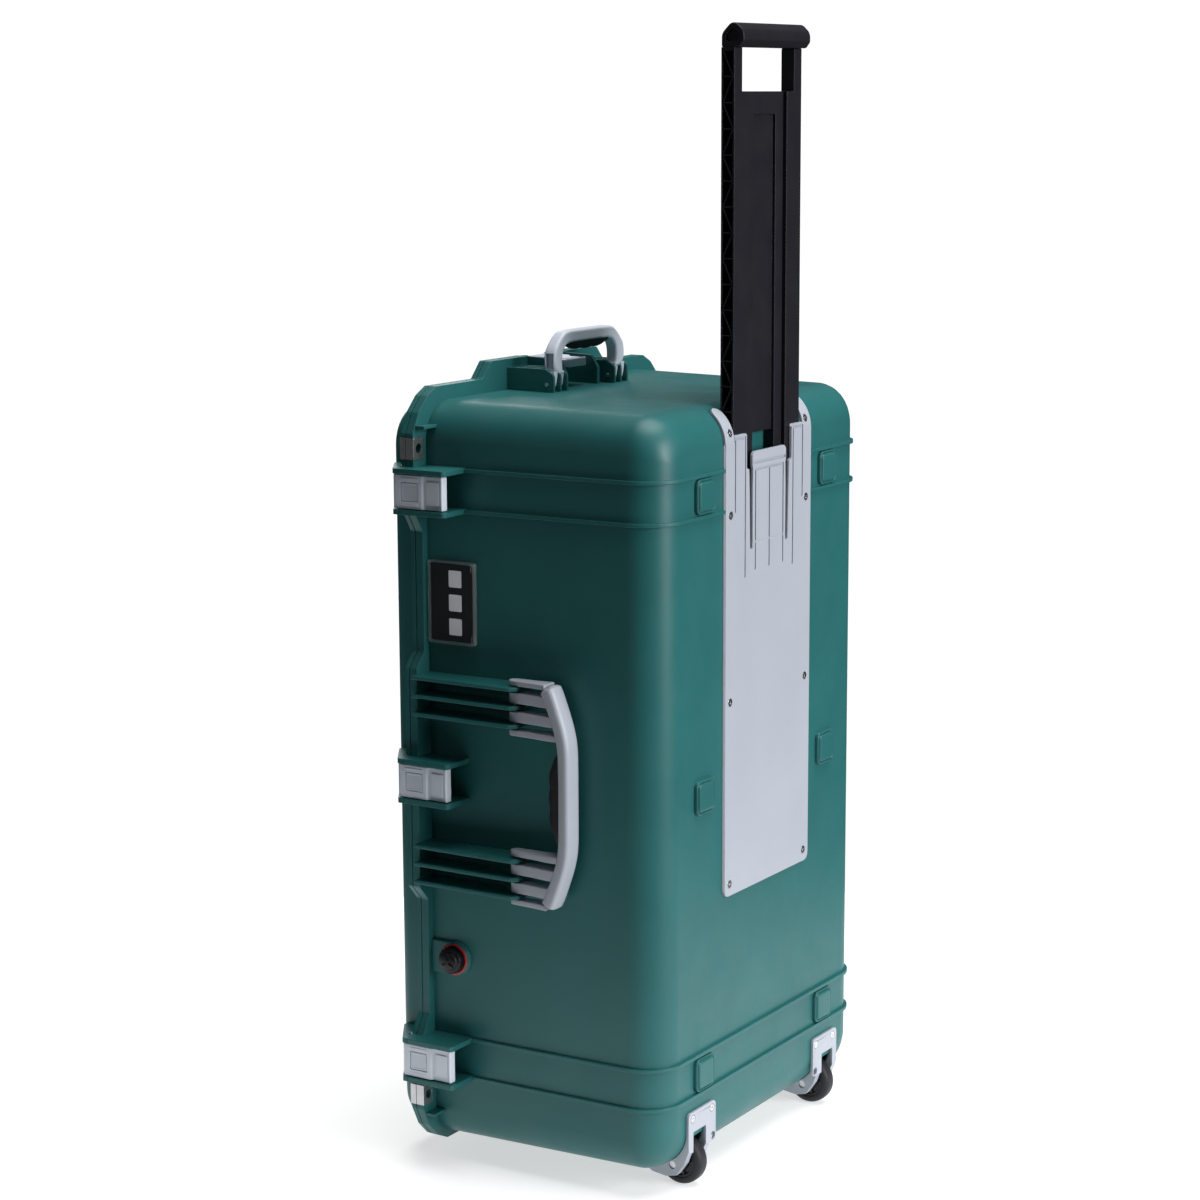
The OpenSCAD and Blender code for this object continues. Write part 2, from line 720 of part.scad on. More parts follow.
module bearings(rear) {
    color("silver") wheel_side(rear) translate([wheel_x, -wheel_y, wheel_r]) rotate([90, 0, 0])
        for (s = [-1, 1]) translate([0, 0, s * 5.5]) rotate_extrude($fn = 48)
            polygon([[4.06, -2.5], [8, -2.5], [8, 2.5], [4.06, 2.5]]);
}
module valve_knob() {
    color("#151517") translate([valve_x, -219, valve_z]) rotate([90, 0, 0]) rotate_extrude() polygon(concat(
        [[0, 12], [0, -12], [7.9, -12], [7.9, 0], [13.6, 0]], arc(7.6, 6, 6, 0, 80, 6)));
}
module valve_ring() {
    color("#b0282c") translate([valve_x, -219, valve_z]) rotate([90, 0, 0]) rotate_extrude()
        polygon([[13.9, 0], [16.2, 0], [16.2, 1.6], [13.9, 1.6]]);
}
module valve_membrane() { color("white") rod([valve_x, -206.4, valve_z], 1, 5, 1); }
module valve_nut() {
    color("#202022") difference() {
        translate([valve_x, -206.9, valve_z]) rotate([-90, 0, 0]) cylinder(h = 4, r = 14, $fn = 6);
        rod([valve_x, -205, valve_z], 1, 8, 20);
    }
}
module label_holder() {
    color([0.8, 0.85, 0.88, 0.5]) difference() {
        block([label_x0, -219.5, label_z0], [label_x1, -215.6, label_z1]);
        block([label_x0 + 2, -218.4, label_z0 + 2], [label_x1 - 2, -215, label_z1 - 2]);
    }
}
module label_card() {
    color("#101012") block([label_x0 + 3, -218.2, label_z0 + 3], [label_x1 - 3, -217.2, label_z1 - 3]);
}

base_back();
base_side_walls();
base_end_walls();
base_flange();
base_latch_ledges();
base_ribs();
handle_fins();
trolley_channel();
lid_shell();
lid_latch_ledges();
lid_seal();
hinge_pins();
base_lock_plates();
lid_lock_plates();
latch(0);  // latch_front_top
latch(1);  // latch_front_middle
latch(2);  // latch_front_bottom
latch(3);  // latch_end_top
latch(4);  // latch_end_bottom
button(0);  // button_front_top
button(1);  // button_front_middle
button(2);  // button_front_bottom
button(3);  // button_end_top
button(4);  // button_end_bottom
button_spring(0);  // button_spring_front_top
button_spring(1);  // button_spring_front_middle
button_spring(2);  // button_spring_front_bottom
button_spring(3);  // button_spring_end_top
button_spring(4);  // button_spring_end_bottom
latch_pins();
latch_springs();
main_handle();
main_grip();
main_handle_pins();
end_handle();
end_grip();
end_handle_pins();
trolley_rails();
trolley_web();
trolley_grip();
trolley_plate();
trolley_release_tab();
plate_screws();
bracket_front();
bracket_rear();
bracket_screws();
axle(false);  // axle_front
axle(true);  // axle_rear
tyre(false);  // tyre_front
tyre(true);  // tyre_rear
hub(false);  // hub_front
hub(true);  // hub_rear
bearings(false);  // bearings_front
bearings(true);  // bearings_rear
valve_knob();
valve_ring();
valve_membrane();
valve_nut();
label_holder();
label_card();
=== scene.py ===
import json
import math

import bmesh
import bpy
from mathutils import Matrix, Vector
from mathutils.geometry import tessellate_polygon


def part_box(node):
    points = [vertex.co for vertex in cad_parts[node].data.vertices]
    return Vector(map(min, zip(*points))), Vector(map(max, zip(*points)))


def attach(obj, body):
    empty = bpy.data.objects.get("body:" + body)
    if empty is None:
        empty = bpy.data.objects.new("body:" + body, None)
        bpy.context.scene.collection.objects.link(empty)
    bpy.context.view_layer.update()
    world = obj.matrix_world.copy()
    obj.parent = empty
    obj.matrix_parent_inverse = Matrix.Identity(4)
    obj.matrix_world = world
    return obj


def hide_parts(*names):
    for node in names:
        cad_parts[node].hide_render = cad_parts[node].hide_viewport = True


# Shapes are drawn in millimetres in the case's own frame: +Z up its length, -X the lid, +X the trolley
# side, -Y the long front with the carry handle.
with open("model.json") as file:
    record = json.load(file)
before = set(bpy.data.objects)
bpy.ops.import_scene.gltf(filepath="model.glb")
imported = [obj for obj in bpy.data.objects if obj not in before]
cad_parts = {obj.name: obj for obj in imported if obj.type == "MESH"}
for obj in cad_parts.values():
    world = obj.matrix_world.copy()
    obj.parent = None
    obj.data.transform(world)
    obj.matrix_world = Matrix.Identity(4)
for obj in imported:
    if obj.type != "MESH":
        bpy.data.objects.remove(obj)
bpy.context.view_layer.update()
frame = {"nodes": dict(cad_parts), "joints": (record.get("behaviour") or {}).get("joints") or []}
MM = 0.001
# Corners nearer to each other than this, in metres, become one
MERGE = 2e-6


def span(node):
    lo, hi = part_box(node)
    return lo / MM, hi / MM


def joint_at(name):
    return next(Vector(j["pos_m"]) / MM for j in frame["joints"] if j["name"] == name)


ends_lo, ends_hi = span("base_end_walls")
PART_X = ends_lo.x
BACK_X = 151
MID_Z = span("base_latch_ledges")[1].z / 2
BODY_Z = (ends_lo.z + ends_hi.z) / 2
HALF_L = (ends_hi.z - ends_lo.z) / 2
HALF_W = span("base_side_walls")[1].y
LID_X = span("lid_shell")[0].x
WALL = 4.5
DRAFT = 6
END_DRAFT = 3
EDGE_R = 37
TOP_ARC_Z = BODY_Z + HALF_L - END_DRAFT - EDGE_R
CORNER_R = 38
LID_EDGE_R = 18
FLANGE_T = 8.4
LID_FLANGE_T = 6
LATCH_GAPS = (-290.5, 0, 290.5)
LATCHES = ("front_bottom", "front_middle", "front_top", "end_top", "end_bottom")
PLATE_X0 = 151.0
PLATE_X1 = 154.0
PLATE_HALF = 88.4
PLATE_Z0 = 285.7
WHEEL_Y = abs(joint_at("wheel_front_spin").y)
# Ledges, ribs and fins end inside a shell's wall, at this growth of the shell
ROOT = -1.2
# A place behind the back wall, for cuts that go right through it
PAST_BACK = 180


# ---------------------------------------------------------------- shapes
class Shape:
    """Corners in millimetres and faces, gathered into one mesh."""

    def __init__(self, place=None):
        self.verts = []
        self.faces = []
        self.place = place

    def add(self, verts, faces):
        first = len(self.verts)
        for v in verts:
            v = Vector(v)
            self.verts.append(self.place @ v if self.place else v)
        self.faces += [[first + i for i in f] for f in faces]


def on_yz(a, b, t):
    return (t, a, b)


def on_xz(a, b, t):
    return (a, t, b)


def on_xy(a, b, t):
    return (a, b, t)


def mirrored(loop):
    return [(-a, b) for a, b in loop]


def area(loop):
    return sum(p[0] * q[1] - q[0] * p[1] for p, q in zip(loop, loop[1:] + loop[:1])) / 2


def turned(loop, positive):
    return list(loop) if (area(loop) > 0) == positive else list(reversed(loop))


def arc(cx, cy, r, a0, a1, n):
    angles = (math.radians(a0 + (a1 - a0) * i / n) for i in range(n + 1))
    return [(cx + r * math.cos(a), cy + r * math.sin(a)) for a in angles]


def circle(cx, cy, r, n=32):
    return arc(cx, cy, r, 0, 360, n)[:-1]


def rounded(hw, hh, r, n=8, cx=0, cy=0):
    corners = ((1, 1, 0), (-1, 1, 90), (-1, -1, 180), (1, -1, 270))
    return [p for sx, sy, a in corners
            for p in arc(cx + sx * (hw - r), cy + sy * (hh - r), r, a, a + 90, n)]


def fillet(points, r, n=4):
    """Rounds the corners of a closed loop. A point may carry its own radius as a third number."""
    out = []
    for i, p in enumerate(points):
        here = Vector(p[:2])
        back = Vector(points[i - 1][:2]) - here
        on = Vector(points[(i + 1) % len(points)][:2]) - here
        radius = p[2] if len(p) > 2 else r
        half = back.angle(on) / 2
        reach = min(radius / math.tan(half), 0.48 * min(back.length, on.length)) if half < 1.55 else 0
        if reach < 0.02:
            out.append(tuple(here))
            continue
        radius = reach * math.tan(half)
        middle = here + (back.normalized() + on.normalized()).normalized() * radius / math.sin(half)
        start = here + back.normalized() * reach - middle
        turn = start.angle_signed(here + on.normalized() * reach - middle)
        for k in range(n + 1):
            a = -turn * k / n
            out.append((middle.x + start.x * math.cos(a) - start.y * math.sin(a),
                        middle.y + start.x * math.sin(a) + start.y * math.cos(a)))
    return out


def inset(loop, d):
    """Moves every edge of a closed loop to its left by d, with mitred corners."""
    out = []
    for i, p in enumerate(loop):
        here = Vector(p)
        a = (here - Vector(loop[i - 1])).normalized()
        b = (Vector(loop[(i + 1) % len(loop)]) - here).normalized()
        normal = Vector((-a.y - b.y, a.x + b.x))
        out.append(tuple(here + normal * d / max(0.3, 1 + a.dot(b))))
    return out


def prism(shape, loops, t0, t1, plane):
    """An outline, the first loop, with holes in it, the others, made solid from t0 to t1."""
    loops = [turned(loop, i == 0) for i, loop in enumerate(loops)]
    flat = [p for loop in loops for p in loop]
    n = len(flat)
    faces = []
    first = 0
    for loop in loops:
        m = len(loop)
        low = [(first + i, first + (i + 1) % m) for i in range(m)]
        faces += [(a, b, n + b, n + a) for a, b in low]
        first += m
    if len(loops) == 1:
        caps = [list(range(n))]
    else:
        caps = tessellate_polygon([[Vector((a, b, 0)) for a, b in loop] for loop in loops])
    for c in caps:
        faces.append([n + i for i in c])
        faces.append([i for i in reversed(c)])
    shape.add([plane(a, b, t) for t in (t0, t1) for a, b in flat], faces)


def loft(shape, rings, closed=False):
    """Joins rings of equally many points; a closed loft joins the last ring to the first."""
    n = len(rings[0])
    count = len(rings)
    faces = []
    for k in range(count if closed else count - 1):
        a, b = k * n, (k + 1) % count * n
        faces += [(a + i, a + (i + 1) % n, b + (i + 1) % n, b + i) for i in range(n)]
    if not closed:
        faces += [list(reversed(range(n))), [(count - 1) * n + i for i in range(n)]]
    shape.add([p for ring in rings for p in ring], faces)


def pillow(shape, loop, profile, plane):
    """A loop swept through (inset, height) steps, so its edges can be rounded or dished."""
    loop = turned(loop, True)
    loft(shape, [[plane(a, b, t) for a, b in inset(loop, d)] for d, t in profile])


def both_ends(lo, hi, steps):
    """A pillow's profile from lo to hi, with the same (inset, height) steps at both ends."""
    return [(d, lo + t) for d, t in steps] + [(d, hi - t) for d, t in reversed(steps)]


def revolve(shape, profile, centre, axis, n=48, flute=0.0, flutes=0):
    """Turns a closed (radius, height) profile about an axis through centre."""
    w = Vector(axis)
    u = w.orthogonal().normalized()
    v = w.cross(u)
    rings = []
    for k in range(n):
        a = 2 * math.pi * k / n
        grow = 1 + flute * math.cos(flutes * a)
        out = u * math.cos(a) + v * math.sin(a)
        rings.append([Vector(centre) + out * r * grow + w * h for r, h in profile])
    loft(shape, rings, closed=True)


def block(shape, lo, hi):
    prism(shape, [[(lo[0], lo[1]), (hi[0], lo[1]), (hi[0], hi[1]), (lo[0], hi[1])]], lo[2], hi[2], on_xy)


def to_mesh(name, shape):
    """An object with the shape's mesh, in metres, with its faces turned outwards."""
    mesh = bpy.data.meshes.new(name)
    mesh.from_pydata([v * MM for v in shape.verts], [], shape.faces)
    bm = bmesh.new()
    bm.from_mesh(mesh)
    bmesh.ops.remove_doubles(bm, verts=bm.verts, dist=MERGE)
    bmesh.ops.recalc_face_normals(bm, faces=bm.faces)
    bm.to_mesh(mesh)
    bm.free()
    thing = bpy.data.objects.new(name, mesh)
    bpy.context.scene.collection.objects.link(thing)
    return thing


def baked(thing):
    """Replaces the mesh by what its modifiers make of it."""
    graph = bpy.context.evaluated_depsgraph_get()
    mesh = bpy.data.meshes.new_from_object(thing.evaluated_get(graph))
    thing.modifiers.clear()
    thing.data = mesh


def carve(thing, shape, operation="DIFFERENCE"):
    tool = to_mesh("tool", shape)
    mod = thing.modifiers.new("carve", "BOOLEAN")
    mod.object = tool
    mod.operation = operation
    mod.solver = "EXACT"
    baked(thing)
    bpy.data.objects.remove(tool)


def bevel(thing, width, segments):
    mod = thing.modifiers.new("bevel", "BEVEL")
    mod.width = width * MM
    mod.segments = segments
    mod.limit_method = "ANGLE"
    mod.angle_limit = math.radians(35)


def even_normals(thing):
    mod = thing.modifiers.new("normals", "WEIGHTED_NORMAL")
    mod.keep_sharp = True
    mod.weight = 80


def dress(thing, material):
    thing.data.materials.clear()
    thing.data.materials.append(material)
    thing.data.shade_smooth()
    thing.data.set_sharp_from_angle(angle=math.radians(40))
    even_normals(thing)


def piece(name, shape, body, nodes, slot, material, edge=0.0, segments=2, cuts=(), keep=None):
    """A new piece that stands in for CAD nodes: trimmed to keep, cut, with bevelled edges."""
    thing = to_mesh(name, shape)
    if keep:
        carve(thing, keep, "INTERSECT")
    for cut in cuts:
        carve(thing, cut)
    if edge:
        bevel(thing, edge, segments)
        baked(thing)
    dress(thing, material)
    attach(thing, body)
    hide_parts(*nodes)


def shell_piece(name, shape, body, nodes, **trim):
    piece(name, shape, body, nodes, "shell_plastic", SHELL, **trim)


def carry(node, material, edge=0.0, segments=2):
    """Keeps a CAD node in view, with softened edges and its own material."""
    thing = frame["nodes"][node]
    thing.data.materials.clear()
    thing.data.materials.append(material)
    weld = thing.modifiers.new("weld", "WELD")
    weld.merge_threshold = MERGE
    if edge:
        bevel(thing, edge, segments)
    even_normals(thing)


# ---------------------------------------------------------------- materials
class Paint:
    """A node material with a few helpers."""

    def __init__(self, name):
        self.material = bpy.data.materials.new(name)
        self.material.use_nodes = True
        self.tree = self.material.node_tree
        self.shader = self.tree.nodes["Principled BSDF"]
        self.coords = self.node("ShaderNodeTexCoord").outputs["Object"]

    def node(self, kind, inputs=None, **settings):
        made = self.tree.nodes.new(kind)
        for key, value in settings.items():
            setattr(made, key, value)
        for key, value in (inputs or {}).items():
            if isinstance(value, bpy.types.NodeSocket):
                self.tree.links.new(value, made.inputs[key])
            else:
                made.inputs[key].default_value = value
        return made

    def link(self, socket, value):
        if isinstance(value, bpy.types.NodeSocket):
            self.tree.links.new(value, self.shader.inputs[socket])
        else:
            self.shader.inputs[socket].default_value = value

    def noise(self, scale, detail=2.0, rough=0.5, stretch=None):
        where = self.coords
        if stretch:
            where = self.node("ShaderNodeMapping", {"Vector": where, "Scale": stretch}).outputs["Vector"]
        return self.node("ShaderNodeTexNoise", {"Vector": where, "Scale": scale, "Detail": detail,
                                                "Roughness": rough}).outputs["Fac"]

    def spread(self, value, a, b, c, d):
        return self.node("ShaderNodeMapRange", {"Value": value, "From Min": a, "From Max": b,
                                                "To Min": c, "To Max": d}).outputs["Result"]

    def blend(self, factor, a, b):
        mix = self.node("ShaderNodeMix", data_type="RGBA")
        for i, value in ((0, factor), (6, a), (7, b)):
            if isinstance(value, bpy.types.NodeSocket):
                self.tree.links.new(value, mix.inputs[i])
            else:
                mix.inputs[i].default_value = value
        return mix.outputs[2]

    def math(self, operation, a, b):
        return self.node("ShaderNodeMath", {0: a, 1: b}, operation=operation).outputs[0]

    def bump(self, height, strength, distance, normal=None):
        inputs = {"Height": height, "Strength": strength, "Distance": distance}
        if normal:
            inputs["Normal"] = normal
        return self.node("ShaderNodeBump", inputs).outputs["Normal"]

    def edges(self, radius):
        """(a normal rounded over the edges, 0 on flat parts to 1 on edges)"""
        soft = self.node("ShaderNodeBevel", {"Radius": radius * MM}, samples=4).outputs["Normal"]
        flat = self.node("ShaderNodeNewGeometry").outputs["Normal"]
        dot = self.node("ShaderNodeVectorMath", {0: soft, 1: flat}, operation="DOT_PRODUCT").outputs["Value"]
        return soft, self.spread(dot, 0.995, 0.80, 0.0, 1.0)


def tinted(color, k):
    return tuple(min(1, c * k) for c in color) + (1,)


def plastic(name, color, rough, grain=620, grain_depth=0.25, wave=0.0, mottle=0.06, edge=0.9, edge_highlight=0.35,
            edge_highlight_color=None, specular=0.5):
    """Moulded plastic: fine grain, slow colour drift, every edge painted lighter as a painted highlight, and
    softly rounded corners.
    """
    p = Paint(name)
    soft, rim = p.edges(edge)
    drift = p.noise(7.0, 3.0, 0.6)
    speck = p.noise(grain, 3.0, 0.65)
    base = p.blend(p.spread(drift, 0.3, 0.7, 0.0, 1.0), tinted(color, 1 - mottle), tinted(color, 1 + mottle))
    # Painted edge highlight: the base colour turns lighter on every edge, made uneven with noise
    edge_highlight_mask = p.math("MULTIPLY", rim, p.spread(p.noise(90.0, 3.0), 0.35, 0.65, 0.25 * edge_highlight, edge_highlight))
    edge_highlight_tint = tuple(edge_highlight_color or [min(1, c * 1.7 + 0.02) for c in color]) + (1,)
    p.link("Base Color", p.blend(edge_highlight_mask, base, edge_highlight_tint))
    uneven = p.math("ADD", p.spread(p.noise(26.0, 4.0), 0.3, 0.7, rough - 0.05, rough + 0.05),
                    p.spread(speck, 0.3, 0.7, -0.04, 0.04))
    p.link("Roughness", uneven)
    normal = p.bump(speck, grain_depth, 0.00012, soft)
    if wave:
        normal = p.bump(p.noise(9.0, 1.0), wave, 0.0012, normal)
    p.link("Normal", normal)
    p.link("Specular IOR Level", specular)
    return p.material


def metal(name, color, rough, stretch=(1.0, 1.0, 14.0), lines=0.15):
    """Brushed or turned steel: fine lines along one way, small rubbed marks."""
    p = Paint(name)
    soft, rim = p.edges(0.35)
    brushed = p.noise(240, 4.0, 0.7, stretch)
    blotches = p.spread(p.noise(60.0, 3.0), 0.3, 0.7, 0.0, 1.0)
    p.link("Base Color", p.blend(blotches, tinted(color, 0.86), tinted(color, 1.05)))
    p.link("Roughness", p.math("ADD", p.spread(brushed, 0.3, 0.7, rough - 0.07, rough + 0.07),
                               p.spread(rim, 0.0, 1.0, 0.0, -0.06)))
    p.link("Metallic", 1.0)
    p.link("Normal", p.bump(brushed, lines, 0.00008, soft))
    return p.material


def rubber(name, color, rough, pores=900.0):
    """Matt rubber: pores and dust."""
    p = Paint(name)
    soft = p.edges(0.8)[0]
    skin = p.noise(pores, 4.0, 0.7)
    dust = p.noise(34.0, 5.0, 0.65)
    dusty = p.spread(dust, 0.45, 0.75, 0.0, 0.5)
    p.link("Base Color", p.blend(dusty, tinted(color, 1.0), tinted(color, 1.6)))
    p.link("Specular IOR Level", 0.3)
    p.link("Roughness", p.spread(dust, 0.3, 0.7, rough - 0.06, rough + 0.08))
    p.link("Normal", p.bump(skin, 0.35, 0.00015, soft))
    return p.material


def clear(name):
    """Clear plastic with a little haze."""
    p = Paint(name)
    haze = p.noise(40.0, 4.0, 0.6)
    p.link("Base Color", (0.72, 0.78, 0.80, 1))
    p.link("Roughness", p.spread(haze, 0.3, 0.7, 0.08, 0.20))
    p.link("Alpha", 0.10)
    p.link("Normal", p.bump(p.noise(30.0, 2.0), 0.1, 0.0004))
    return p.material


def cloth(name, color):
    """A plain weave."""
    p = Paint(name)
    threads = [p.node("ShaderNodeTexWave", {"Vector": p.coords, "Scale": 900.0}, bands_direction=way)
               for way in ("X", "Z")]
    weave = p.math("MULTIPLY", *[t.outputs["Fac"] for t in threads])
    p.link("Base Color", p.blend(weave, tinted(color, 0.7), tinted(color, 1.0)))
    p.link("Roughness", 0.85)
    p.link("Normal", p.bump(weave, 0.4, 0.0001))
    return p.material


# Each plastic below gets a painted edge highlight, of the strength and tint given with it
SHELL = plastic("shell_green", (0.015, 0.112, 0.113), 0.42, grain=520, grain_depth=0.35, wave=0.08,
                mottle=0.07, edge=1.3, edge_highlight=0.25, edge_highlight_color=(0.05, 0.20, 0.19), specular=0.36)
SILVER = plastic("silver_plastic", (0.365, 0.392, 0.445), 0.40, grain=760, grain_depth=0.16, mottle=0.03,
                 edge=0.8, edge_highlight=0.25)
PALE = plastic("pale_plastic", (0.62, 0.66, 0.74), 0.40, grain=760, grain_depth=0.16, mottle=0.03,
               edge=0.8, edge_highlight=0.25)
LATCH = plastic("latch_plastic", (0.64, 0.69, 0.77), 0.38, grain=760, grain_depth=0.18, mottle=0.04,
                edge=0.7, edge_highlight=0.4, edge_highlight_color=(0.76, 0.80, 0.86))
BUTTON = plastic("button_plastic", (0.58, 0.63, 0.71), 0.36, grain=760, grain_depth=0.14, mottle=0.04,
                 edge=0.7, edge_highlight=0.3, edge_highlight_color=(0.70, 0.74, 0.80))
TROLLEY = plastic("trolley_plastic", (0.007, 0.007, 0.011), 0.48, grain=420, grain_depth=0.5, mottle=0.10,
                  edge=0.8, edge_highlight=0.40, edge_highlight_color=(0.06, 0.06, 0.07), specular=0.28)
VALVE = plastic("valve_plastic", (0.004, 0.004, 0.006), 0.34, edge=0.5, edge_highlight=0.3,
                edge_highlight_color=(0.04, 0.04, 0.045), specular=0.3)
HUB = plastic("hub_plastic", (0.022, 0.022, 0.026), 0.42, edge=0.6, edge_highlight=0.3)
RED = plastic("ring_red", (0.36, 0.020, 0.022), 0.30, grain_depth=0.05, edge=0.3, edge_highlight=0.2)
CARD = plastic("card_black", (0.005, 0.005, 0.008), 0.50, grain=1200, grain_depth=0.10, edge=0.2, edge_highlight=0.0)
CARD_PALE = plastic("card_pale", (0.88, 0.89, 0.93), 0.55, grain=1200, grain_depth=0.10, edge=0.2, edge_highlight=0.0)
GRIP = rubber("grip_rubber", (0.006, 0.006, 0.007), 0.58)
SEAL = rubber("seal_rubber", (0.012, 0.012, 0.012), 0.60)
TYRE = rubber("tyre_rubber", (0.013, 0.013, 0.016), 0.50, pores=600.0)
STEEL = metal("plate_steel", (0.52, 0.52, 0.53), 0.36)
PIN = metal("pin_steel", (0.60, 0.60, 0.62), 0.30, stretch=(9.0, 9.0, 1.0))
SCREW = metal("screw_steel", (0.74, 0.74, 0.76), 0.20, stretch=(1.0, 1.0, 1.0), lines=0.08)
CLEAR = clear("clear_plastic")
MEMBRANE = cloth("membrane_cloth", (0.80, 0.80, 0.80))


# ---------------------------------------------------------------- shells
def shell_ring(x, half_w, half_l, r):
    return [(x, a, BODY_Z + b) for a, b in rounded(half_w, half_l, r)]


def tub_rings(grow, steps=12):
    """The base's outside from the parting line to its back, grown or shrunk."""
    rings = [shell_ring(PART_X, HALF_W + grow, HALF_L + grow, CORNER_R + grow)]
    for i in range(steps + 1):
        a = math.pi / 2 * i / steps
        r = EDGE_R + grow
        cut = r * (1 - math.cos(a))
        rings.append(shell_ring(BACK_X + grow - r * (1 - math.sin(a)), HALF_W - DRAFT + grow - cut,
                                HALF_L - END_DRAFT + grow - cut, CORNER_R + grow - cut * 0.7))
    return rings


def tray_rings(grow, steps=8):
    """The lid's outside from the parting line to its face, grown or shrunk."""
    rings = [shell_ring(PART_X, HALF_W - 2 + grow, HALF_L - 3 + grow, CORNER_R + grow)]
    for i in range(steps + 1):
        a = math.pi / 2 * i / steps
        r = LID_EDGE_R + grow
        cut = r * (1 - math.cos(a))
        rings.append(shell_ring(LID_X - grow + r * (1 - math.sin(a)), HALF_W - 4 + grow - cut,
                                HALF_L - 5 + grow - cut, CORNER_R + grow - cut * 0.7))
    return rings


def solid(rings):
    """A shell's rings filled in, for trimming what stands on its walls."""
    shape = Shape()
    loft(shape, rings)
    return shape


def flange_outline(lid):
    """The flange seen along X: wide where the latches are, set back between them."""
    side = [(237, 0), (237, 112), (223.5, 127), (223.5, 248), (237, 270), (237, 346)]
    front = side
    end = [(227, 366), (212, 381), (196, 389), (116, 389), (100, 406), (28.5, 406), (28.5, 389)]
    if lid:
        front = [(229, 0), (229, 17.7), (237, 17.7), (237, 112), (223.5, 127), (223.5, 248), (237, 270),
                 (237, 272.8), (229, 272.8), (229, 308.2), (237, 308.2), (237, 346)]
        end = end + [(20, 389), (20, 387)]
    rear = [(a, MID_Z + b) for a, b in side + end]
    near = [(-a, MID_Z + b) for a, b in front + end]
    low_rear = [(a, 2 * MID_Z - b) for a, b in rear[1:]]
    low_near = [(a, 2 * MID_Z - b) for a, b in near[1:]]
    return rear + near[::-1] + low_near + low_rear[::-1]


LOCK_Y = -229.0
LOCK_DZ = 331
LOCK_R = 4.8
# Gap between the flanges, which shows as a dark line
SEAM = 0.9
HINGE = joint_at("lid_hinge")
HINGE_DZ = 308
KNUCKLE_L = 12


def lock_holes():
    return [circle(LOCK_Y, MID_Z + s * LOCK_DZ, LOCK_R, 24) for s in (-1, 1)]


def knuckles(shape, which):
    """The hinge knuckles of the base (0) or the lid (1), which take turns along each pin."""
    side = 1 if which == 0 else -1
    half = KNUCKLE_L / 2 - 0.3
    profile = [(2.6, -half), (5.9, -half), (6.5, 0.6 - half), (6.5, half - 0.6), (5.9, half), (2.6, half)]
    web = [(PART_X + side * 0.3, 230), (PART_X + side * 0.3, HINGE.y - 2.6),
           (PART_X + side * 5.5, HINGE.y - 2.6), (PART_X + side * 5.5, 230)]
    for s in (-1, 1):
        for i in range(-2, 3):
            if i % 2 == which:
                mid = MID_Z + s * HINGE_DZ + i * KNUCKLE_L
                revolve(shape, profile, (HINGE.x, HINGE.y, mid), (0, 0, 1), 36)
                prism(shape, [web], mid - half, mid + half, on_xy)


# The trolley's channel in (y, z), and the x of its floor
CHANNEL = [(-69.4, 290), (69.4, 290), (69.4, 830), (-69.4, 830)]
CHANNEL_FLOOR = 134.6
CHANNEL_WALL = 5
# The room round a wheel
WELL_X = 107.3
WELL_HALF = 12
WELL_TOP = 53
# Places along the length count from the middle
RIB_PLACES = (-310.5, -270, 270, 310.5)
RIB_HALF = 1.8
RIB_OUT = 3.3
PAD_PLACES = (-290.5, -7, 290.5)
PAD_Y = 126
LEDGE_HALF = 2.5
SIDE_LEDGE_DZ = 20.2
SIDE_LEDGE_Y = -252
FIN_HALF = 1.8
FIN_X = PART_X + FLANGE_T - 2
VALVE_FACE = -219


def cup(outer, inner):
    """The wall between two shells, open at the parting line and with a flat back on each shell."""
    shape = Shape()
    loft(shape, outer + inner[::-1], closed=True)
    n = len(outer[0])
    back = (len(outer) - 1) * n
    # The closed loft joins the two backs, so those faces give way to caps
    joined = set(range(back, back + 2 * n))
    shape.faces = [f for f in shape.faces if not joined.issuperset(f)]
    shape.faces += [list(range(back, back + n)), list(range(back + 2 * n - 1, back + n - 1, -1))]
    return shape


def channel_space():
    shape = Shape()
    prism(shape, [CHANNEL], CHANNEL_FLOOR, PAST_BACK, on_yz)
    return shape


def well_space(bottom):
    shape = Shape()
    for y in (-WHEEL_Y, WHEEL_Y):
        block(shape, (WELL_X, y - WELL_HALF, bottom), (PAST_BACK, y + WELL_HALF, WELL_TOP))
    return shape


def base_tub():
    shell_piece("base_tub", cup(tub_rings(0), tub_rings(-WALL)), "base",
                ["base_back", "base_side_walls", "base_end_walls"], cuts=[channel_space(), well_space(6)])


def trolley_channel():
    shape = Shape()
    x0, x1 = CHANNEL_FLOOR - WALL, BACK_X - 2
    half = CHANNEL[1][0] + CHANNEL_WALL
    z0 = CHANNEL[0][1] - CHANNEL_WALL
    hump = [(x0, z0), (x1, z0), (x1, TOP_ARC_Z), (142, TOP_ARC_Z + 22), (x0, TOP_ARC_Z + 33)]
    prism(shape, [hump], -half, half, on_xz)
    shell_piece("trolley_channel_walls", shape, "base", ["trolley_channel"], cuts=[channel_space()])


def wheel_wells():
    shape = Shape()
    half = WELL_HALF + WALL
    for y in (-WHEEL_Y, WHEEL_Y):
        block(shape, (WELL_X - WALL, y - half, 6), (150, y + half, WELL_TOP + WALL))
    shell_piece("wheel_well_walls", shape, "base", ["base_end_walls"], keep=solid(tub_rings(-0.6)),
                cuts=[well_space(0)])


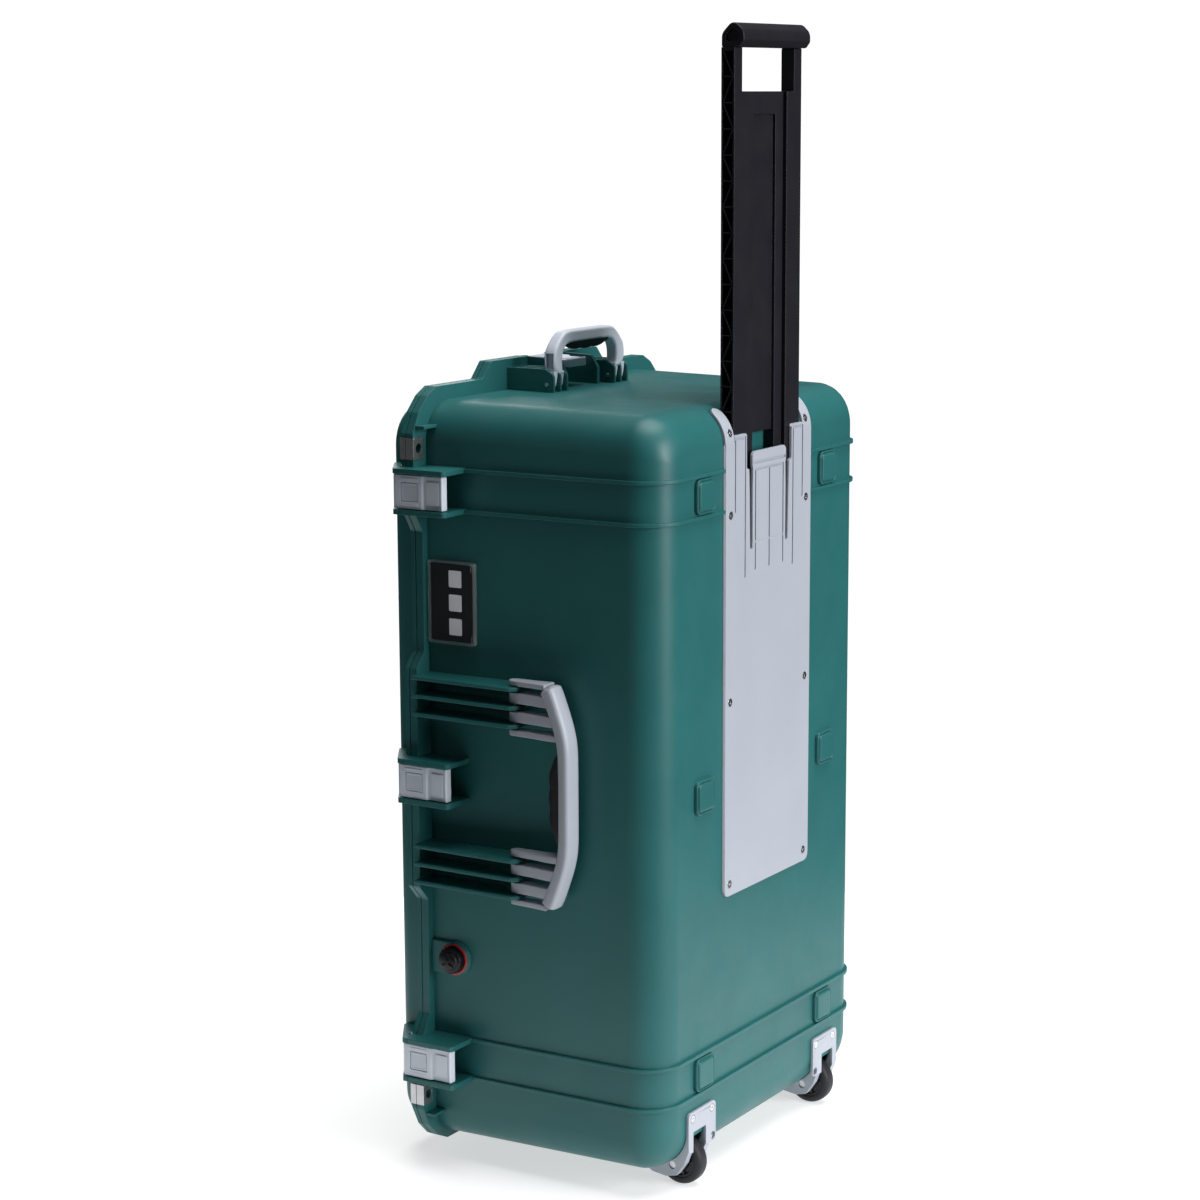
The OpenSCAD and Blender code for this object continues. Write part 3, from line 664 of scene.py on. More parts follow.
def base_ribs():
    bands = Shape()
    for d in RIB_PLACES:
        z = MID_Z + d
        block(bands, (PART_X + FLANGE_T, -260, z - RIB_HALF), (PAST_BACK, 260, z + RIB_HALF))
    seat = Shape()
    block(seat, (150.2, -PLATE_HALF - 0.2, 280), (PAST_BACK, PLATE_HALF + 0.2, TOP_ARC_Z))
    shell_piece("base_band_ribs", solid(tub_rings(RIB_OUT)), "base", ["base_ribs"], keep=bands,
                cuts=[seat, channel_space(), solid(tub_rings(ROOT))], edge=0.9, segments=3)


def base_pads():
    """Six square pads, each with a groove round its raised middle."""
    shape = Shape()
    # (x, half width, half height, corner radius)
    steps = [(149, 18, 17.4, 7), (153.4, 18, 17.4, 7), (154.6, 17.3, 16.7, 6.4), (154.8, 16.6, 16.0, 6),
             (153.6, 15.4, 14.8, 5), (153.6, 14.9, 14.3, 4.7), (155.4, 14.1, 13.5, 4.2),
             (155.9, 13.4, 12.8, 3.8), (156, 12.2, 11.6, 3.2)]
    for y in (-PAD_Y, PAD_Y):
        for d in PAD_PLACES:
            loft(shape, [[(x, a, b) for a, b in rounded(hw, hh, r, 6, y, MID_Z + d)]
                         for x, hw, hh, r in steps])
    shell_piece("base_pads", shape, "base", ["base_back"])


def base_flange():
    shape = Shape()
    inner = rounded(HALF_W - 3, HALF_L - 3, CORNER_R - 3, 8, 0, BODY_Z)
    outline = fillet(flange_outline(False), 5, 3)
    prism(shape, [outline, inner] + lock_holes(), PART_X, PART_X + FLANGE_T, on_yz)
    shell_piece("base_flange_ring", shape, "base", ["base_flange", "base_latch_ledges"], edge=1.3, segments=3)
    hinge = Shape()
    knuckles(hinge, 0)
    shell_piece("base_hinge_knuckles", hinge, "base", ["base_flange"])


def side_ledges(shape, outline):
    """A pair of ledges beside each latch of the long front."""
    for d in LATCH_GAPS:
        for s in (-1, 1):
            z = MID_Z + d + s * SIDE_LEDGE_DZ
            prism(shape, [fillet(outline, 2, 3)], z - LEDGE_HALF, z + LEDGE_HALF, on_xy)


def end_ledges(shape, outline, y):
    """A pair of ledges beside the latch of each end; the outline's heights count from the middle."""
    for e in (-1, 1):
        loop = [(a, MID_Z + e * b, r) for a, b, r in outline]
        for s in (-1, 1):
            prism(shape, [fillet(loop, 2, 3)], s * y - LEDGE_HALF, s * y + LEDGE_HALF, on_xz)


def base_ledges():
    shape = Shape()
    side_ledges(shape, [(PART_X, -210, 0), (PART_X, SIDE_LEDGE_Y, 1), (-69, SIDE_LEDGE_Y), (-66.5, -249.5),
                        (-66.5, -205, 0)])
    end_ledges(shape, [(PART_X, 370, 0), (PART_X, 406, 1), (-75, 404, 3), (-67, 392, 4), (-67, 366, 0)], 31)
    # Shelf past each padlock hole
    for z in (MID_Z - 352, MID_Z + 352):
        block(shape, (PART_X + 4, -233, z - 1.5), (-102, -200, z + 1.5))
    shell_piece("base_latch_ledges_visual", shape, "base", ["base_latch_ledges"],
                cuts=[solid(tub_rings(ROOT))], edge=0.8)


def handle_fins():
    shape = Shape()
    side_fin = [(FIN_X, -208, 0), (FIN_X, -245, 0), (2, -245, 4), (8, -240, 4), (8, -206, 0)]
    end_fin = [(FIN_X, 772, 0), (FIN_X, 804, 0), (-66, 804, 5), (-55.5, 798, 5), (-55.5, 772, 0)]
    # Gusset that leans from the flange to the end wall, beside the end latch
    gusset = [(FIN_X, 772), (FIN_X, 797), (-84, 777), (-84, 772)]
    for s in (-1, 1):
        for d in (104.5, 86, 67.5):
            z = MID_Z + s * d
            prism(shape, [fillet(side_fin, 3, 4)], z - FIN_HALF, z + FIN_HALF, on_xy)
        for y in (70.5, 58, 46):
            prism(shape, [fillet(end_fin, 4, 4)], s * y - 1.5, s * y + 1.5, on_xz)
        prism(shape, [gusset], s * 35.6 - 1.2, s * 35.6 + 1.2, on_xz)
    shell_piece("handle_fins_visual", shape, "base", ["handle_fins"], cuts=[solid(tub_rings(ROOT))], edge=0.7)


def valve_centre():
    lo, hi = span("valve_knob")
    return (lo + hi) / 2


def valve_boss():
    """A round boss with an arm to the flange."""
    shape = Shape()
    at = valve_centre()
    arm_x, half = PART_X + FLANGE_T, 17
    outline = [(arm_x, at.z - half), (at.x, at.z - half)] + arc(at.x, at.z, half, -80, 80, 14) + [
        (at.x, at.z + half), (arm_x, at.z + half)]
    rise = [(0, -206), (0, VALVE_FACE + 1), (0.4, VALVE_FACE + 0.3), (1.2, VALVE_FACE)]
    pillow(shape, outline, rise, on_xz)
    pillow(shape, circle(at.x, at.z, 18.2, 40), [(0, -206), (0, -216.4), (0.8, -217)], on_xz)
    shell_piece("valve_boss", shape, "base", ["base_side_walls"])


def lid_tray():
    panels = Shape()
    for y0, y1 in ((-160, -58), (-48, 48), (58, 160)):
        pillow(panels, rounded((y1 - y0) / 2, 305, 14, 8, (y0 + y1) / 2, BODY_Z),
               [(1.6, LID_X + 1.6), (0, LID_X), (0, LID_X - 3)], on_yz)
    shell_piece("lid_tray", cup(tray_rings(0), tray_rings(0.5 - WALL)), "lid", ["lid_shell"], cuts=[panels])


def lid_flange():
    ring = Shape()
    hole = rounded(HALF_W - 6, HALF_L - 6, CORNER_R - 6, 8, 0, BODY_Z)
    outline = fillet(flange_outline(True), 3.5, 3)
    prism(ring, [outline, hole] + lock_holes(), PART_X - LID_FLANGE_T, PART_X - SEAM, on_yz)
    shell_piece("lid_flange_ring", ring, "lid", ["lid_shell", "lid_latch_ledges"], edge=1.0)


def lid_ledges():
    shape = Shape()
    side_ledges(shape, [(PART_X, -208, 0), (PART_X, SIDE_LEDGE_Y, 1), (-127, SIDE_LEDGE_Y, 2),
                        (-151, -216, 3), (-151, -206, 0)])
    end_ledges(shape, [(PART_X, 362, 0), (PART_X, 405.5, 1), (-127, 405.5, 2), (-151, 372, 3),
                       (-151, 362, 0)], 22.5)
    shell_piece("lid_ledges", shape, "lid", ["lid_latch_ledges"], cuts=[solid(tray_rings(ROOT))], edge=0.8)


def lid_hinge():
    shape = Shape()
    knuckles(shape, 1)
    shell_piece("lid_hinge_knuckles", shape, "lid", ["lid_shell"])


# ---------------------------------------------------------------- latches
# Places on a latch: u along it from the lid, v outwards from its face
PIVOT_U = -7
PIVOT_V = -14
BUTTON_U = 11.9
LATCH_HALF = 16.7


def latch_place(name):
    """Matrix from (u along +X, w across, v outwards) to the case's frame, at the latch's outer face."""
    pivot = joint_at("latch_" + name + "_hinge")
    if name == "end_top":
        v, w = Vector((0, 0, 1)), Vector((0, 1, 0))
    elif name == "end_bottom":
        v, w = Vector((0, 0, -1)), Vector((0, 1, 0))
    else:
        v, w = Vector((0, -1, 0)), Vector((0, 0, 1))
    u = Vector((1, 0, 0))
    place = Matrix((u, w, v)).transposed().to_4x4()
    place.translation = pivot - u * PIVOT_U - v * PIVOT_V
    return place


def latch(name):
    place = latch_place(name)
    long = 50.5 if name.startswith("front") else 48
    latch_plate(name, place, long)
    latch_trim(name, place, long)
    latch_button(name, place)


def latch_plate(name, place, long):
    shape = Shape(place)
    side = [(-6, -1.2), (-5, 0), (27, 0), (29.5, -2), (long - 3, -2), (long - 1.6, -0.9), (long, -1.8),
            (long, -10), (0, -10), (-2, -14), (-6.5, -14), (-9.5, -4)]
    prism(shape, [side], -LATCH_HALF, LATCH_HALF, on_xz)
    well = Shape(place)
    prism(well, [rounded(10.3, 9.6, 1.2, 3, BUTTON_U)], -7.4, 3, on_xy)
    piece("latch_%s_plate" % name, shape, "latch_" + name, ["latch_" + name], "latch_plastic", LATCH,
          cuts=[well], edge=0.8)


def latch_trim(name, place, long):
    """Raised panel on the pull, lines beside the button, and the pivot barrels."""
    trim = Shape(place)
    panel = rounded((long - 36) / 2, 11.6, 1.2, 3, (long + 28) / 2)
    pillow(trim, panel, [(0, -3), (0, -1.5), (0.5, -1.0)], on_xy)
    barrel = [(2.1, -3.2), (5.0, -3.2), (5.4, -2.8), (5.4, 2.8), (5.0, 3.2), (2.1, 3.2)]
    for s in (-1, 1):
        pillow(trim, rounded(10.5, 1.1, 0.7, 2, BUTTON_U, s * 13.2), [(0, -1), (0, 0.15), (0.3, 0.4)], on_xy)
        revolve(trim, barrel, (PIVOT_U, s * 8.5, PIVOT_V), (0, 1, 0), 32)
    revolve(trim, [(2.1, -3.4), (5.4, -3.4), (5.4, 3.4), (2.1, 3.4)], (PIVOT_U, 0, PIVOT_V), (0, 1, 0), 32)
    piece("latch_%s_trim" % name, trim, "latch_" + name, ["latch_" + name], "latch_plastic", LATCH)


def latch_button(name, place):
    """A dished button; each step is (inset, height, corner radius)."""
    knob = Shape(place)
    steps = [(0, -5.2, 1.4), (0, -1.3, 1.4), (0.25, -0.75, 1.2), (0.8, -0.5, 1.0), (1.8, -0.5, 0.8),
             (2.2, -0.8, 0.7), (2.8, -0.85, 0.6)]
    loft(knob, [[(a, b, t) for a, b in rounded(9.9 - d, 9.2 - d, r, 4, BUTTON_U)] for d, t, r in steps])
    piece("button_%s_cap" % name, knob, "button_" + name, ["button_" + name], "button_plastic", BUTTON)


# ---------------------------------------------------------------- handles
def oval(along, across, n=28):
    """A squarish oval, for the section of a moulded tube."""
    out = []
    for k in range(n):
        a = 2 * math.pi * k / n
        c, d = math.cos(a), math.sin(a)
        out.append((along * math.copysign(abs(c) ** 0.62, c), across * math.copysign(abs(d) ** 0.62, d)))
    return out


def tube(shape, path, section, plane, depth, cap=4.0):
    """Sweeps a section along a flat path. section(k) gives its half thickness and half depth at a share k."""
    points = [Vector(p) for p in path]
    lengths = [0.0]
    for a, b in zip(points, points[1:]):
        lengths.append(lengths[-1] + (b - a).length)
    run = []
    for i, here in enumerate(points):
        ahead = (points[min(i + 1, len(points) - 1)] - points[max(i - 1, 0)]).normalized()
        run.append((here, ahead, section(lengths[i] / lengths[-1]), 1.0))
    # Both ends taper into blunt caps
    (start, start_way, start_size, _), (end, end_way, end_size, _) = run[0], run[-1]
    tapers = [(cap * (1 - k), 0.55 + 0.45 * k) for k in (0.35, 0.75, 0.95)]
    head = [(start - start_way * out, start_way, start_size, grow) for out, grow in tapers]
    tail = [(end + end_way * out, end_way, end_size, grow) for out, grow in reversed(tapers)]
    rings = []
    for here, ahead, (thick, deep), grow in head + run + tail:
        side = Vector((-ahead.y, ahead.x))
        rings.append([plane(*(here + side * u), depth + v) for u, v in oval(thick * grow, deep * grow)])
    loft(shape, rings)


def smooth(points, rounds):
    """Cuts the corners of an open path."""
    for _ in range(rounds):
        out = [points[0]]
        for (a, b), (c, d) in zip(points, points[1:]):
            out += [(0.75 * a + 0.25 * c, 0.75 * b + 0.25 * d), (0.25 * a + 0.75 * c, 0.25 * b + 0.75 * d)]
        points = out + [points[-1]]
    return points


def finger_grip(name, body, node, half, counts, depths, widths, place):
    """A rubber grip with finger waves. It is 2 * half long, with (rings, points a ring) in counts. Depths are
    at its ends, added in the middle and added by a finger; widths are in the middle and lost at its ends.
    place(away, across, along) puts a point in the case's frame."""
    shape = Shape()
    rings = []
    for k in range(counts[0] + 1):
        along = half - 2 * half * k / counts[0]
        share = abs(along) / half
        wave = abs(math.cos(math.radians(along * 8)))
        depth = depths[0] + (depths[1] + depths[2] * wave) * (1 - share ** 4)
        wide = widths[0] - widths[1] * share ** 6
        ring = []
        for i in range(counts[1] + 1):
            a = math.pi * (i / counts[1] - 0.5)
            ring.append(place(depth * max(0.0, math.cos(a)) ** 0.7, wide * math.sin(a), along))
        rings.append(ring)
    loft(shape, rings)
    piece(name, shape, body, [node], "grip_rubber", GRIP)


def carry_handle():
    pivot = joint_at("main_handle_hinge")
    carry_tube(pivot)
    carry_prongs(pivot)
    finger_grip("carry_handle_grip", "main_handle", "main_grip", 47, (96, 16), (7.0, 11.5, 1.7), (10.4, 1.2),
                lambda away, across, along: (60.6 - away, pivot.y + across, MID_Z + along))


def carry_tube(pivot):
    shape = Shape()
    half = [(42, 106.5), (45.5, 100), (52, 83), (57.5, 67.5), (61, 51), (61.4, 25)]
    path = [(a, MID_Z + b) for a, b in smooth(half + [(a, -b) for a, b in reversed(half)], 3)]
    tube(shape, path, lambda k: (7.9 - 1.0 * math.sin(math.pi * k), 11.8), on_xz, pivot.y)
    # Oval dimples in the ends of the tube
    dimples = Shape()
    for s in (-1, 1):
        way = Vector((-0.504, 0, s * 0.864))
        side = Vector((0.864, 0, s * 0.504))
        end = Vector((half[0][0], pivot.y, MID_Z + s * half[0][1]))
        loft(dimples, [[end + way * h + Vector((0, a, 0)) + side * b for a, b in rounded(5.4, 2.9, 2.8, 6)]
                       for h in (0.9, 8)])
    piece("carry_handle_tube", shape, "main_handle", ["main_handle"], "silver_plastic", SILVER,
          cuts=[dimples])


def carry_prongs(pivot):
    """Four prongs a side, between the fins; each is (from, to, reach)."""
    prongs = Shape()
    for w0, w1, reach in ((57.6, 63.6, 58), (71.4, 81.8, 53), (90.0, 100.6, 46), (107.4, 112.6, 40)):
        top = [(24, 7.4), (38, 9.4), (reach, 9.6)]
        outline = arc(pivot.x, pivot.y, 6.4, 90, 270, 8)
        outline += [(a, pivot.y - b) for a, b in top] + [(a, pivot.y + b) for a, b in reversed(top)]
        for s in (-1, 1):
            lo, hi = sorted((MID_Z + s * w0, MID_Z + s * w1))
            pillow(prongs, outline, both_ends(lo, hi, [(1.0, 0), (0.3, 0.3), (0, 1)]), on_xy)
    piece("carry_handle_prongs", prongs, "main_handle", ["main_handle"], "silver_plastic", SILVER)


def end_handle():
    pivot = joint_at("end_handle_hinge")
    end_bow(pivot)
    end_prongs(pivot)
    finger_grip("end_handle_grip", "end_handle", "end_grip", 40, (72, 14), (5.0, 5.0, 1.2), (6.4, 0.8),
                lambda away, across, along: (pivot.x + across, along, 831 - away))


def end_bow(pivot):
    """A flat-sided bow with a window in the outside of each leg."""
    shape = Shape()
    outer = [(57.5, 797), (67.4, 803.5), (67.4, 817), (64.6, 824.5), (51.5, 837), (43, 841), (20, 841.2)]
    inner = [(49.4, 797), (52, 803), (52, 815), (48, 823.5), (41, 828), (20, 828.2)]
    bow = smooth(outer + mirrored(outer)[::-1], 1) + smooth(mirrored(inner) + inner[::-1], 1)
    edges = [(3.0, 0), (1.2, 0.6), (0.3, 1.8), (0, 3.4)]
    pillow(shape, bow, both_ends(pivot.x - 7, pivot.x + 7, edges), on_yz)
    windows = Shape()
    for y0, y1 in ((-72, -62.6), (62.6, 72)):
        block(windows, (pivot.x - 4.6, y0, 803.5), (pivot.x + 4.6, y1, 819))
    piece("end_handle_tube", shape, "end_handle", ["end_handle"], "silver_plastic", PALE, cuts=[windows])


def end_prongs(pivot):
    prongs = Shape()
    outline = arc(pivot.x, pivot.z, 4.6, 180, 360, 8)
    outline += [(pivot.x + a, z) for a, z in ((6.2, 797), (6.2, 801), (-6.2, 801), (-6.2, 797))]
    for s in (-1, 1):
        for w0, w1 in ((49.2, 55.2), (60.8, 67.8)):
            lo, hi = sorted((s * w0, s * w1))
            pillow(prongs, outline, both_ends(lo, hi, [(0.8, 0), (0.2, 0.25), (0, 0.8)]), on_xz)
    piece("end_handle_prongs", prongs, "end_handle", ["end_handle"], "silver_plastic", PALE)


# ---------------------------------------------------------------- trolley
GROOVE_D = 0.9
WING_Y = 71
WING_T = 3
WING_END_R = 8
PLATE_SCREWS = (671, 484, 298)
SCREW_Y = 77.8
SCREW_R = 4.2
WING_SCREW_A = 16
TAB_ROOT = 639


def symmetric(right):
    """A filleted outline from its right half, which starts at the lower corner."""
    left = [(-a, b, r) for a, b, r in right]
    return fillet(left[:1] + right + left[:0:-1], 1, 4)


def plate_panel():
    """The flat of the plate, with grooves and a slot round the release tab."""
    top = TOP_ARC_Z + 1
    outline = symmetric([(PLATE_HALF, PLATE_Z0, 8), (PLATE_HALF, top, 0), (WING_Y, top, 0), (WING_Y, 749, 3),
                         (46, 749, 3), (46, 714, 2), (41, 713, 2), (40, 690, 0), (38.6, 632, 2.2),
                         (34.2, 632, 2.2), (34.2, TAB_ROOT, 0)])
    side = [(48.1, 607), (49.3, 605), (50.5, 607), (50.5, 744), (68.1, 744), (68.1, 674), (69.3, 672),
            (70.5, 674), (70.5, 746.4), (48.1, 746.4)]
    middle = [[(y - 1.2, 612), (y, 610), (y + 1.2, 612), (y + 1.2, 638), (y - 1.2, 638)]
              for y in (-28.5, 0, 28.5)]
    holes = [circle(y, z, SCREW_R, 24) for y in (-SCREW_Y, SCREW_Y) for z in PLATE_SCREWS]
    marks = [side, mirrored(side)] + middle
    shape = Shape()
    prism(shape, [outline] + holes, PLATE_X0, PLATE_X1 - GROOVE_D, on_yz)
    prism(shape, [outline] + marks + holes, PLATE_X1 - GROOVE_D, PLATE_X1 - 0.35, on_yz)
    # A chamfer all round, but not where the tab grows out of the plate
    chamfered = [(a, TAB_ROOT) if abs(a) < 34.5 and abs(b - TAB_ROOT) < 1.5 else (a, b)
                 for a, b in inset(turned(outline, True), 0.35)]
    prism(shape, [chamfered] + marks + holes, PLATE_X1 - 0.35, PLATE_X1, on_yz)
    piece("trolley_plate_panel", shape, "base", ["trolley_plate"], "silver_plastic", SILVER)


def plate_wings():
    """Wings over the rounded top edge, narrowing to a rounded end."""
    wings = Shape()
    near, far = EDGE_R + 0.2, EDGE_R + WING_T
    steps, last_steps = 22, 5
    for s in (-1, 1):
        rings = []
        for k in range(steps + 1):
            a = math.radians(60 * k / steps)
            share = max(0.0, (k - steps + last_steps) / last_steps)
            trim = WING_END_R * (1 - math.sqrt(max(0.0, 1 - share ** 2)))
            y0, y1 = s * (WING_Y + trim * 0.9), s * (PLATE_HALF - trim)
            section = [(near, y0), (far - 0.5, y0), (far, y0 + s * 0.5), (far, y1 - s * 0.5), (far - 0.5, y1),
                       (near, y1)]
            rings.append([(BACK_X - EDGE_R + r * math.cos(a), y, TOP_ARC_Z + r * math.sin(a))
                          for r, y in section])
        loft(wings, rings)
    holes = Shape()
    a = math.radians(WING_SCREW_A)
    axis = Vector((math.cos(a), 0, math.sin(a)))
    u = Vector((0, 1, 0))
    v = axis.cross(u)
    for y in (-SCREW_Y, SCREW_Y):
        at = Vector((BACK_X - EDGE_R, y, TOP_ARC_Z)) + axis * far
        loft(holes, [[at + axis * h + u * c + v * d for c, d in circle(0, 0, SCREW_R, 24)]
                     for h in (-1.7, 5)])
    piece("trolley_plate_wings", wings, "base", ["trolley_plate"], "silver_plastic", SILVER, cuts=[holes])


def tab():
    """The release tab, with comb-like grooves and a fold line."""
    root = TAB_ROOT + 0.05
    outline = symmetric([(34.0, root, 0), (34.2, 690, 0), (33.6, 712, 1), (34.8, 716, 2), (34.8, 726, 3),
                         (31, 729.4, 3)])
    comb = [(-29.7, 640), (-29.7, 712.3), (29.7, 712.3), (29.7, 640), (27.3, 640), (27.3, 710), (1.2, 710),
            (1.2, 640), (-1.2, 640), (-1.2, 710), (-27.3, 710), (-27.3, 640)]
    fold = [(-33.4, 716.6), (33.4, 716.6), (33.4, 719.4), (-33.4, 719.4)]
    shape = Shape()
    prism(shape, [outline], 151.2, 153.0, on_yz)
    prism(shape, [outline, comb, fold], 153.0, 153.7, on_yz)
    chamfered = [(a, b) if b > TAB_ROOT + 2 else (a, root) for a, b in inset(turned(outline, True), 0.3)]
    prism(shape, [chamfered, comb, fold], 153.7, PLATE_X1, on_yz)
    piece("release_tab_panel", shape, "release_tab", ["trolley_release_tab"], "silver_plastic", SILVER)


def trolley_grip():
    """A rounded bar with an open recess in each end."""
    lo, hi = span("trolley_grip")
    x0 = lo.x
    corners = [(x0, lo.z, 1.5), (156, lo.z, 3), (160.5, lo.z + 6, 4), (160.3, hi.z - 8, 10), (152, hi.z, 10),
               (x0 + 10, hi.z, 10), (x0, hi.z - 10, 10)]
    shape = Shape()
    edge = 1.4
    quarter = [math.pi / 2 * i / 4 for i in range(5)]
    round_off = [(edge * (1 - math.sin(a)), edge * (1 - math.cos(a))) for a in quarter]
    pillow(shape, fillet(corners, 3, 6), both_ends(lo.y, hi.y, round_off), on_xz)
    hollow = Shape()
    dish = [(x0 + 4.4, lo.z + 5.5, 2), (152, lo.z + 5.5, 3), (155.6, lo.z + 9, 3), (155.4, hi.z - 11, 5),
            (150, hi.z - 5.2, 5), (x0 + 11, hi.z - 5.2, 6), (x0 + 4.4, hi.z - 12, 6)]
    for y0, y1 in ((lo.y - 2, lo.y + 3.2), (hi.y - 3.2, hi.y + 2)):
        prism(hollow, [fillet(dish, 3, 5)], y0, y1, on_xz)
    piece("trolley_grip_bar", shape, "trolley", ["trolley_grip"], "trolley_plastic", TROLLEY, cuts=[hollow])


# ---------------------------------------------------------------- wheels, valve, label
def wheel(side):
    at = joint_at("wheel_%s_spin" % side)
    axle = (0, 1, 0)
    tyre = Shape()
    lower = [(17, -8.6), (17.4, -9.2), (18.6, -9.5)] + arc(18.6, -3.2, 6.3, -80, -8, 7) + [(25, -1.0)]
    revolve(tyre, both_sides(lower), at, axle, 96)
    piece("tyre_%s_round" % side, tyre, "wheel_" + side, ["tyre_" + side], "tyre_rubber", TYRE)
    hub = Shape()
    lower = [(8, -8), (9.6, -8), (10.2, -7.4), (10.6, -4.5), (14.4, -4.5), (15, -7.4), (15.4, -8), (17, -8)]
    revolve(hub, both_sides(lower), at, axle, 64)
    for k in range(5):
        rib = Shape(Matrix.Translation(at) @ Matrix.Rotation(2 * math.pi * k / 5, 4, "Y"))
        block(rib, (10, -7, -1.2), (15.4, 7, 1.2))
        hub.add(rib.verts, rib.faces)
    piece("hub_%s_ribbed" % side, hub, "wheel_" + side, ["hub_" + side], "hub_plastic", HUB)


def both_sides(lower):
    """A profile whose upper half mirrors the lower one."""
    return lower + [(r, -h) for r, h in reversed(lower)]


def valve():
    at = valve_centre()
    foot = (at.x, VALVE_FACE, at.z)
    knob = Shape()
    crown = [(0.2, 0.2), (13.2, 0.2), (13.6, 1.0), (13.5, 7), (12.9, 8.4), (11.6, 9.2), (9.8, 9.4),
             (9.4, 10.6), (8.6, 11.2), (5, 11.8), (0.2, 12)]
    revolve(knob, crown, foot, (0, -1, 0), 96, flute=0.010, flutes=16)
    # Three-armed finger recess in the crown
    recess = Shape()
    for k in range(3):
        arm = Shape(Matrix.Translation(foot) @ Matrix.Rotation(math.radians(30 + 120 * k), 4, "Y"))
        block(arm, (1.5, -14, -1.2), (8.2, -10.6, 1.2))
        recess.add(arm.verts, arm.faces)
    piece("valve_cap", knob, "base", ["valve_knob"], "valve_plastic", VALVE, cuts=[recess])
    ring = Shape()
    band = [(13.9, 0), (16.2, 0), (16.2, 1.2), (15.7, 1.6), (14.3, 1.6), (13.9, 1.2)]
    revolve(ring, band, foot, (0, -1, 0), 64)
    piece("valve_ring_red", ring, "base", ["valve_ring"], "ring_red", RED)


def label():
    lo, hi = span("label_holder")
    middle = (lo + hi) / 2
    half = (hi - lo) / 2
    rim = Shape()
    prism(rim, [rounded(half.x, half.z, 3, 4, middle.x, middle.z),
                rounded(half.x - 2.2, half.z - 2.2, 1.5, 4, middle.x, middle.z)], lo.y, hi.y, on_xz)
    # Clips that hold the cover at its rear corners
    for z in (middle.z - 36, middle.z + 36):
        block(rim, (hi.x - 4.5, lo.y, z - 4), (hi.x, lo.y + 2, z + 4))
    piece("label_holder_clear", rim, "base", ["label_holder"], "clear_plastic", CLEAR)
    face = span("label_card")[0].y
    marks = Shape()
    for k in (-1, 0, 1):
        pillow(marks, rounded(7.6, 8.4, 1.2, 3, middle.x + 4, middle.z + k * 24),
               [(0, face + 0.1), (0, face - 0.12), (0.2, face - 0.15)], on_xz)
    squares = to_mesh("label_card_squares", marks)
    dress(squares, CARD_PALE)
    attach(squares, "base")


# ---------------------------------------------------------------- stage
# The camera's place in metres, its azimuth, height and roll in degrees, and its lens in millimetres
CAMERA_AT = (1.4945, -2.4507, 1.0752)
CAMERA_WAY = (32.166, 10.148, -0.26)
CAMERA_LENS = 84.36
FLOOR_R = 900


def look_camera():
    az, el, roll = (math.radians(a) for a in CAMERA_WAY)
    back = Vector((math.sin(az) * math.cos(el), -math.cos(az) * math.cos(el), math.sin(el)))
    level = Vector((math.cos(az), math.sin(az), 0))
    up = back.cross(level)
    right = level * math.cos(roll) + up * math.sin(roll)
    place = Matrix((right, back.cross(right), back)).transposed().to_4x4()
    place.translation = CAMERA_AT
    data = bpy.data.cameras.new("camera")
    data.lens = CAMERA_LENS
    data.sensor_width = 36
    cam = bpy.data.objects.new("camera", data)
    cam.matrix_world = place
    bpy.context.scene.collection.objects.link(cam)
    bpy.context.scene.camera = cam


def area_light(name, at, aim, size, power):
    data = bpy.data.lights.new(name, "AREA")
    data.shape = "RECTANGLE"
    data.size, data.size_y = size
    data.energy = power
    light = bpy.data.objects.new(name, data)
    light.location = at
    light.rotation_mode = "QUATERNION"
    light.rotation_quaternion = (Vector(aim) - Vector(at)).to_track_quat("-Z", "Y")
    bpy.context.scene.collection.objects.link(light)


def lights():
    area_light("key", (3.4, 0.1, 1.35), (0, 0, 0.5), (1.6, 2.2), 128)
    area_light("front", (-1.0, -3.6, 1.4), (0, -0.1, 0.45), (1.0, 1.6), 2.4)
    area_light("rim", (-2.6, 2.4, 1.8), (0, 0, 0.5), (1.4, 2.0), 20)
    data = bpy.data.lights.new("overhead", "SUN")
    data.energy = 3.5
    data.angle = math.radians(50)
    overhead = bpy.data.objects.new("overhead", data)
    overhead.rotation_euler = (math.radians(-8), math.radians(8), 0)
    bpy.context.scene.collection.objects.link(overhead)


